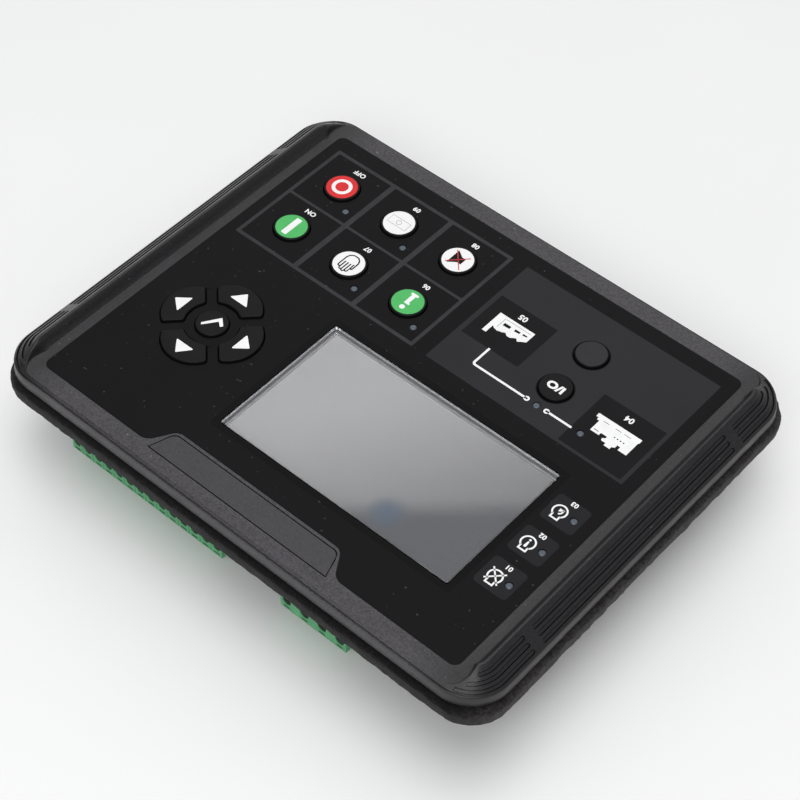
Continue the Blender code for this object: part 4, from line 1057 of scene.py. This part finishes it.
def addMark(name, key, levels, loops=(), lines=(), width=0.0, closed=False, finish="whiteInk"):
    # areas and lines, in millimetres about the middle of the key
    parts = [strokeMesh(aboutKey(key, line), width * mm, *levels, closed) for line in lines]
    if loops:
        parts.append(flatMesh(name, [aboutKey(key, loop) for loop in loops], *levels))
    addPiece(name, joinMeshes(name, parts), finish, key + "_body")


def buildSymbols():
    capTop = keyTop + keyShape["capRise"]
    onCap, onKey = (capTop - 0.00006, capTop + 0.000018), (keyTop - 0.00008, keyTop + 0.000018)
    letter = roundedCorners([(-1.55, -4.3), (1.55, -4.3), (1.55, -3.35), (0.85, -3.35), (0.85, 1.15), (-1.3, 1.15),
                             (-1.3, 0.3), (-0.7, 0.3), (-0.7, -3.35), (-1.55, -3.35)], [0.15] * 10, 3)
    addMark("infoMark", "info_key", onCap, [letter, circlePoints(0.0, 3.05, 1.0, 32)])
    addMark("startMark", "start_key", onCap, [rectanglePoints(0.0, 0.0, 2.3, 8.8, 0.35, 4)])
    addMark("stopMark", "stop_key", onCap, [circlePoints(0.0, 0.0, radius, 56) for radius in (3.75, 2.4)])

    hand = [(-1.95, 0.9), (-2.35, 1.75), (-2.75, 1.5), (-2.75, -1.8), (-2.2, -3.2), (-1.0, -4.05), (0.9, -4.05),
            (2.1, -3.2), (2.6, -1.9), (2.6, 2.5), (2.3, 2.95), (1.75, 2.95), (1.45, 2.5), (1.45, 3.4),
            (1.15, 3.85), (0.6, 3.85), (0.3, 3.4), (0.3, 3.7), (0.0, 4.15), (-0.55, 4.15), (-0.85, 3.7),
            (-0.85, 3.2), (-1.15, 3.6), (-1.65, 3.6), (-1.95, 3.15)]
    fingers = [[(1.45, 2.5), (1.45, -0.2)], [(0.3, 3.4), (0.3, -0.2)], [(-0.85, 3.2), (-0.85, -0.2)],
               [(-1.95, 0.9), (-1.95, -0.6)]]
    handLines = [strokeMesh(aboutKey("manual_key", hand), 0.48 * mm, *onCap, True)]
    handLines += [strokeMesh(aboutKey("manual_key", line), 0.48 * mm, *onCap) for line in fingers]
    addPiece("handMark", joinMeshes("handMark", handLines), "blackInk", "manual_key_body")

    speaker = [(-2.1, -1.75), (-0.6, -1.75), (2.4, -3.7), (2.4, 3.4), (-0.4, 1.2), (-2.1, 1.2)]
    addMark("speakerMark", "mute_key", onCap, [speaker], finish="blackInk")
    cross = [[(-3.4, 3.6), (3.1, -3.6)], [(-3.2, -3.3), (3.1, 3.3)]]
    addMark("muteCross", "mute_key", (onCap[0], onCap[1] + 0.00001), (), cross, 0.36, False, "redInk")
    rings = [circlePoints(0.0, 0.0, radius, 32) for radius in (1.1, 0.9)]
    frameLine = [(-4.05, -1.85), (4.05, -1.85), (4.05, 1.85), (-4.05, 1.85)]
    addMark("autoMark", "auto_key", onCap, rings, [frameLine], 0.16, True, "paleInk")

    arrow = {"half": 3.95, "foot": 12.7, "tip": 17.5, "corner": 0.3}
    shape = roundedCorners([(-arrow["half"], arrow["foot"]), (arrow["half"], arrow["foot"]), (0.0, arrow["tip"])],
                           [arrow["corner"]] * 3, 4)
    for name, turns in arrowKeys.items():
        loop = atPlace(movedBy(shape, 0.0, 0.0), padMiddle.x, padMiddle.y, turns)
        addKey(name, "Arrow", flatMesh(name, [loop], *onKey), "whiteInk")
    tick = [(-3.95, -1.35), (-1.1, -3.9), (2.95, 2.3), (2.25, 2.95), (-1.35, -1.9), (-3.25, -0.45)]
    addMark("enterTick", "enter_key", onKey, [tick])
    place = middleOf("breaker_key")
    addPiece("breakerFigures", letterMesh("I/O", place.x, place.y, 3.3 * mm, *onKey, 0.05, 1.15), "whiteInk",
             "breaker_key_body")


def buildPipes():
    top, radius, collar, stem = filmTop - pipe["sunk"], pipe["radius"], pipe["collar"], pipe["stem"]
    high, low = keyShape["collarTop"], keyShape["flangeLow"]
    for name in pipeNames:
        place, foot = middleOf(name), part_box(name)[0].z
        profile = [(0.0, top)] + [(across, top - drop) for across, drop in pipe["crown"]]
        profile += [(radius, top - pipe["edge"]), (radius, high), (collar, high), (collar, low), (stem, low),
                    (stem, foot), (0.0, foot)]
        light = addPiece(name.replace("light_pipe_", "") + "Pipe", turnedMesh(name, profile, place.x, place.y, 40),
                         "lightPipe", replaced=[name])
        smoothPiece(light, 40.0)


buildKeys()
buildSymbols()
buildPipes()
print("keys and light pipes made")


# Display window

def buildWindow():
    look = {"top": 0.03945, "thickness": 0.0026, "chamfer": 0.00034, "gap": 0.0003}
    top, gap, chamfer = look["top"], look["gap"], look["chamfer"]
    levels = [(gap, top - look["thickness"]), (gap, top - chamfer), (gap + chamfer * 0.3, top - chamfer * 0.3),
              (gap + chamfer, top)]
    rings = [[(x, y, height) for x, y in windowLoop(-inset)] for inset, height in levels]
    window = addPiece("displayWindow", loftMesh("displayWindow", rings), "windowClear",
                      replaced=["display_lens"])
    smoothPiece(window, 12.0)
    window.visible_shadow = False  # the light reaches the display through it


# Foam gasket: soft corners and a slightly uneven outer edge

def denseOutline(points, spacing):
    outline = []
    for index, point in enumerate(points):
        point, after = Vector(point), Vector(points[(index + 1) % len(points)])
        pieces = max(1, round((after - point).length / spacing))
        outline += [point.lerp(after, step / pieces) for step in range(pieces)]
    return outline


def buildGasket():
    look = {"proud": 0.0016, "corner": 0.0145, "low": 0.0263, "high": 0.0318, "round": 0.0011, "spacing": 0.0016,
            "inner": (0.186, 0.141), "uneven": 0.00034, "inset": 0.00032, "shy": 0.0010}
    soft, low, high = look["round"], look["low"], look["high"]
    width, height = moulding["width"] + 2 * look["proud"], moulding["height"] + 2 * look["proud"]
    outline = denseOutline(rectanglePoints(0.0, 0.0, width, height, look["corner"], 24), look["spacing"])
    section = arcPoints(-soft, low + soft, soft, -quarterTurn, 0.0, 4)
    section += arcPoints(-soft, high - soft, soft, 0.0, quarterTurn, 4)
    innerX, innerY = look["inner"][0] / 2, look["inner"][1] / 2
    rings = []
    for index, point in enumerate(outline):
        direction = (outline[(index + 1) % len(outline)] - outline[index - 1]).normalized()
        outward = Vector((direction.y, -direction.x))
        tuck = Vector((look["shy"] * max(outward.x, 0.0), 0.0))  # the ring sits a little to one side
        ring = []
        for reach, z in section:
            place = point + outward * reach - tuck
            wobble = noise.noise(Vector((place.x, place.y, z)) * 260.0) * look["uneven"]
            wobble += noise.noise(Vector((place.x, place.y, z)) * 620.0) * look["uneven"] * 0.7
            out = wobble - look["inset"]
            ring.append((place.x + outward.x * out, place.y + outward.y * out, z))
        inner = (min(max(point.x, -innerX), innerX), min(max(point.y, -innerY), innerY))
        rings.append(ring + [(*inner, high), (*inner, low)])
    foam = addPiece("panelGasket", loftMesh("panelGasket", rings, closed=True), "gasketFoam",
                    replaced=["panel_gasket"])
    smoothPiece(foam, 60.0)


buildWindow()
buildGasket()
print("window and gasket made")


# Terminal plugs with their clamp screws

plug = {"rear": 0.0035, "front": 0.01385, "wellRadius": 0.0016, "wellDepth": 0.0062, "wellZ": 0.0077,
        "largeShare": 1.15, "largePitch": 0.006, "over": 0.001,
        "screwSeat": 0.00025, "screwGap": 0.00008, "screwHead": 0.0012, "screwSlot": 0.00028, "slotSunk": 0.0005,
        "openWidth": 0.0026, "openHalf": 0.00040, "openDepth": 0.0026, "openZ": 0.0046,
        # black blocks at the back of each wire opening, a painted shade that makes the openings look deep
        "backWidth": 0.0028, "backHalf": 0.0005, "backFront": 0.00008, "backRear": 0.0020,
        "lineHalf": 0.00012, "lineDepth": 0.00035, "noseY": (0.0595, 0.0655),
        "noseShy": (0.00115, 0.0002),
        "entryY": 0.0655, "entry": 0.0038, "entryDepth": 0.0070, "clamp": 0.0034, "clampZ": (0.0042, 0.0069)}
plugWays = {"plug_top_small": (14, 0.00508), "plug_top_large": (4, 0.00762), "plug_bottom_small": (12, 0.00508),
            "plug_bottom_middle": (8, 0.00508)}


def sidewaysDisc(x, y, z, radius, length, side, steps=28):
    # short cylinder along Y, from a place towards the case
    rings = [[(px, y - side * length * share, pz) for px, pz in circlePoints(x, z, radius, steps)]
             for share in (0.0, 1.0)]
    return tidyMesh(loftMesh("disc", rings))


def blockMesh(xs, ys, zs):
    (x0, x1), (y0, y1) = sorted(xs), sorted(ys)
    return loftMesh("block", [[(x0, y0, z), (x1, y0, z), (x1, y1, z), (x0, y1, z)] for z in zs])


def about(middle, half):
    return middle - half, middle + half


def addPlugPart(part, label, meshes, finish, width):
    name = "plug" + part + label
    softenPiece(addPiece(name, joinMeshes(name, meshes), finish), width)


def buildPlug(name, ways, pitch):
    low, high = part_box(name)
    side = 1 if low.y > 0 else -1
    outer, inner = (high.y, low.y) if side > 0 else (low.y, high.y)
    rear, front, over, wellZ = plug["rear"], plug["front"], plug["over"], plug["wellZ"]
    large = pitch > plug["largePitch"]
    radius = plug["wellRadius"] * (plug["largeShare"] if large else 1.0)
    cuts, screws, clamps, slotShades = [], [], [], []
    for way in range(ways):
        x = (low.x + high.x) / 2 + (way - (ways - 1) / 2) * pitch
        beyond, entryY, seat = outer + side * over, side * plug["entryY"], outer - side * plug["screwSeat"]
        cuts.append(sidewaysDisc(x, beyond, wellZ, radius, plug["wellDepth"] + over, side))
        cuts.append(blockMesh(about(x, plug["openWidth"] / 2), (outer - side * plug["openDepth"], beyond),
                              about(plug["openZ"], plug["openHalf"])))
        cuts.append(blockMesh(about(x, plug["entry"] / 2), about(entryY, plug["entry"] / 2),
                              (rear - over, rear + plug["entryDepth"])))
        if way and not large:
            lineBack = outer - side * plug["lineDepth"]
            cuts.append(blockMesh(about(x - pitch / 2, plug["lineHalf"]), (lineBack, beyond),
                                  (rear - over, front + over)))
        # black block at the back of the wire opening: a painted shade
        slotShades.append(blockMesh(about(x, plug["backWidth"] / 2),
                               (outer - side * plug["backFront"], outer - side * plug["backRear"]),
                               about(plug["openZ"], plug["backHalf"])))
        head = sidewaysDisc(x, seat, wellZ, radius - plug["screwGap"], plug["screwHead"], side)
        groove = blockMesh(about(x, radius), (seat - side * plug["slotSunk"], seat + side * over),
                           about(wellZ, plug["screwSlot"]))
        screws.append(cutMesh("clampScrew", head, [groove]))
        clamps.append(blockMesh(about(x, plug["clamp"] / 2), about(entryY, plug["clamp"] / 2),
                                [rear + z for z in plug["clampZ"]]))
    label = "".join(word.title() for word in name.split("_")[1:])
    body = blockMesh((low.x, high.x), (inner, outer), (rear, front))
    shy = plug["noseShy"][large]
    nose = blockMesh((low.x + shy, high.x - shy), [side * y for y in plug["noseY"]], (front - over, high.z))
    shell = addPiece("plug" + label, cutMesh("plug" + label, body, cuts, [nose]), "terminalGreen",
                     replaced=[name])
    smoothPiece(shell, 30.0)
    # the screws' near-black colour is a painted shade for their wells
    addPlugPart("Screws", label, screws, "clampSteel", 0.00008)
    # the black blocks in the openings are a painted shade
    addPlugPart("Slots", label, slotShades, "relayPlastic", 0.00008)
    addPlugPart("Clamps", label, clamps, "clampBrass", 0.00012)


for plugName, (plugCount, plugPitch) in plugWays.items():
    buildPlug(plugName, plugCount, plugPitch)
print("terminal plugs made")


# Case screws with a cross recess

def buildCaseScrews():
    look = {"head": 0.00275, "height": 0.0019, "shank": 0.00125, "tip": 0.0006, "dome": 0.55, "flat": 0.62,
            "crossLong": 0.0014, "crossHalf": 0.0003, "crossDepth": 0.0009, "crossOver": 0.001}
    head, shank, flat, dome = look["head"], look["shank"], look["flat"], look["height"] * look["dome"]
    for index in range(1, 5):
        name = "case_screw_%d" % index
        low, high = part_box(name)
        place = middleOf(name)
        seat = low.z + look["height"]
        profile = [(0.0, high.z), (shank * 0.6, high.z), (shank, high.z - look["tip"]), (shank, seat),
                   (head, seat)]
        for across, rise in arcPoints(0.0, 0.0, 1.0, 0.0, quarterTurn, 5):
            profile.append((head * (flat + (1.0 - flat) * across), low.z + dome * (1 - rise)))
        body = tidyMesh(turnedMesh(name, profile + [(0.0, low.z)], place.x, place.y, 32))
        depth = (low.z - look["crossOver"], low.z + look["crossDepth"])
        cuts = [blockMesh(about(place.x, across), about(place.y, up), depth)
                for across, up in ((look["crossLong"], look["crossHalf"]), (look["crossHalf"], look["crossLong"]))]
        screw = addPiece("caseScrew%d" % index, cutMesh(name, body, cuts), "screwSteel",
                         replaced=[name])
        smoothPiece(screw, 35.0)


buildCaseScrews()
print("case screws made")


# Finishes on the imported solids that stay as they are

carried = {
    "rear_case": "casePlastic", "key_mat": "siliconeMat", "key_board": "boardGreen", "main_board": "boardGreen",
    "board_link": "relayPlastic", "relay_1": "relayPlastic", "relay_2": "relayPlastic", "buzzer": "relayPlastic",
    "capacitor": "canAluminium", "display_frame": "panelSteel", "display_panel": "displayGrey",
}
for name, node in nodes.items():
    if node.hide_render:
        continue
    if name.startswith("header_"):
        finish = "terminalGreen"
    elif name.startswith(("board_screw", "board_spacer")):
        finish = "screwSteel"
    else:
        finish = carried[name]
    node.data.materials.clear()
    node.data.materials.append(materials[finish])
print("packed solids finished")


# Pale paper floor

def buildFloor():
    look = {"colour": (0.96, 0.96, 0.95), "roughness": 0.34, "size": 3.0}
    finish, tree, shader = newFinish("palePaper", look["colour"], look["roughness"])
    tint = toned(tree, 0.12, 4.0, look["colour"], 0.985, 1.0)
    tree.links.new(tint, shader.inputs["Base Color"])
    shader.inputs["Specular IOR Level"].default_value = 0.25
    addGrain(tree, shader, 0.0008, 0.00001)
    mesh = bpy.data.meshes.new("paperFloor")
    corners = [(*point, 0.0) for point in rectanglePoints(0.0, 0.0, look["size"], look["size"])]
    mesh.from_pydata(corners, [], [(0, 1, 2, 3)])
    mesh.materials.append(finish)
    floor = addObject("paperFloor", mesh)


buildFloor()
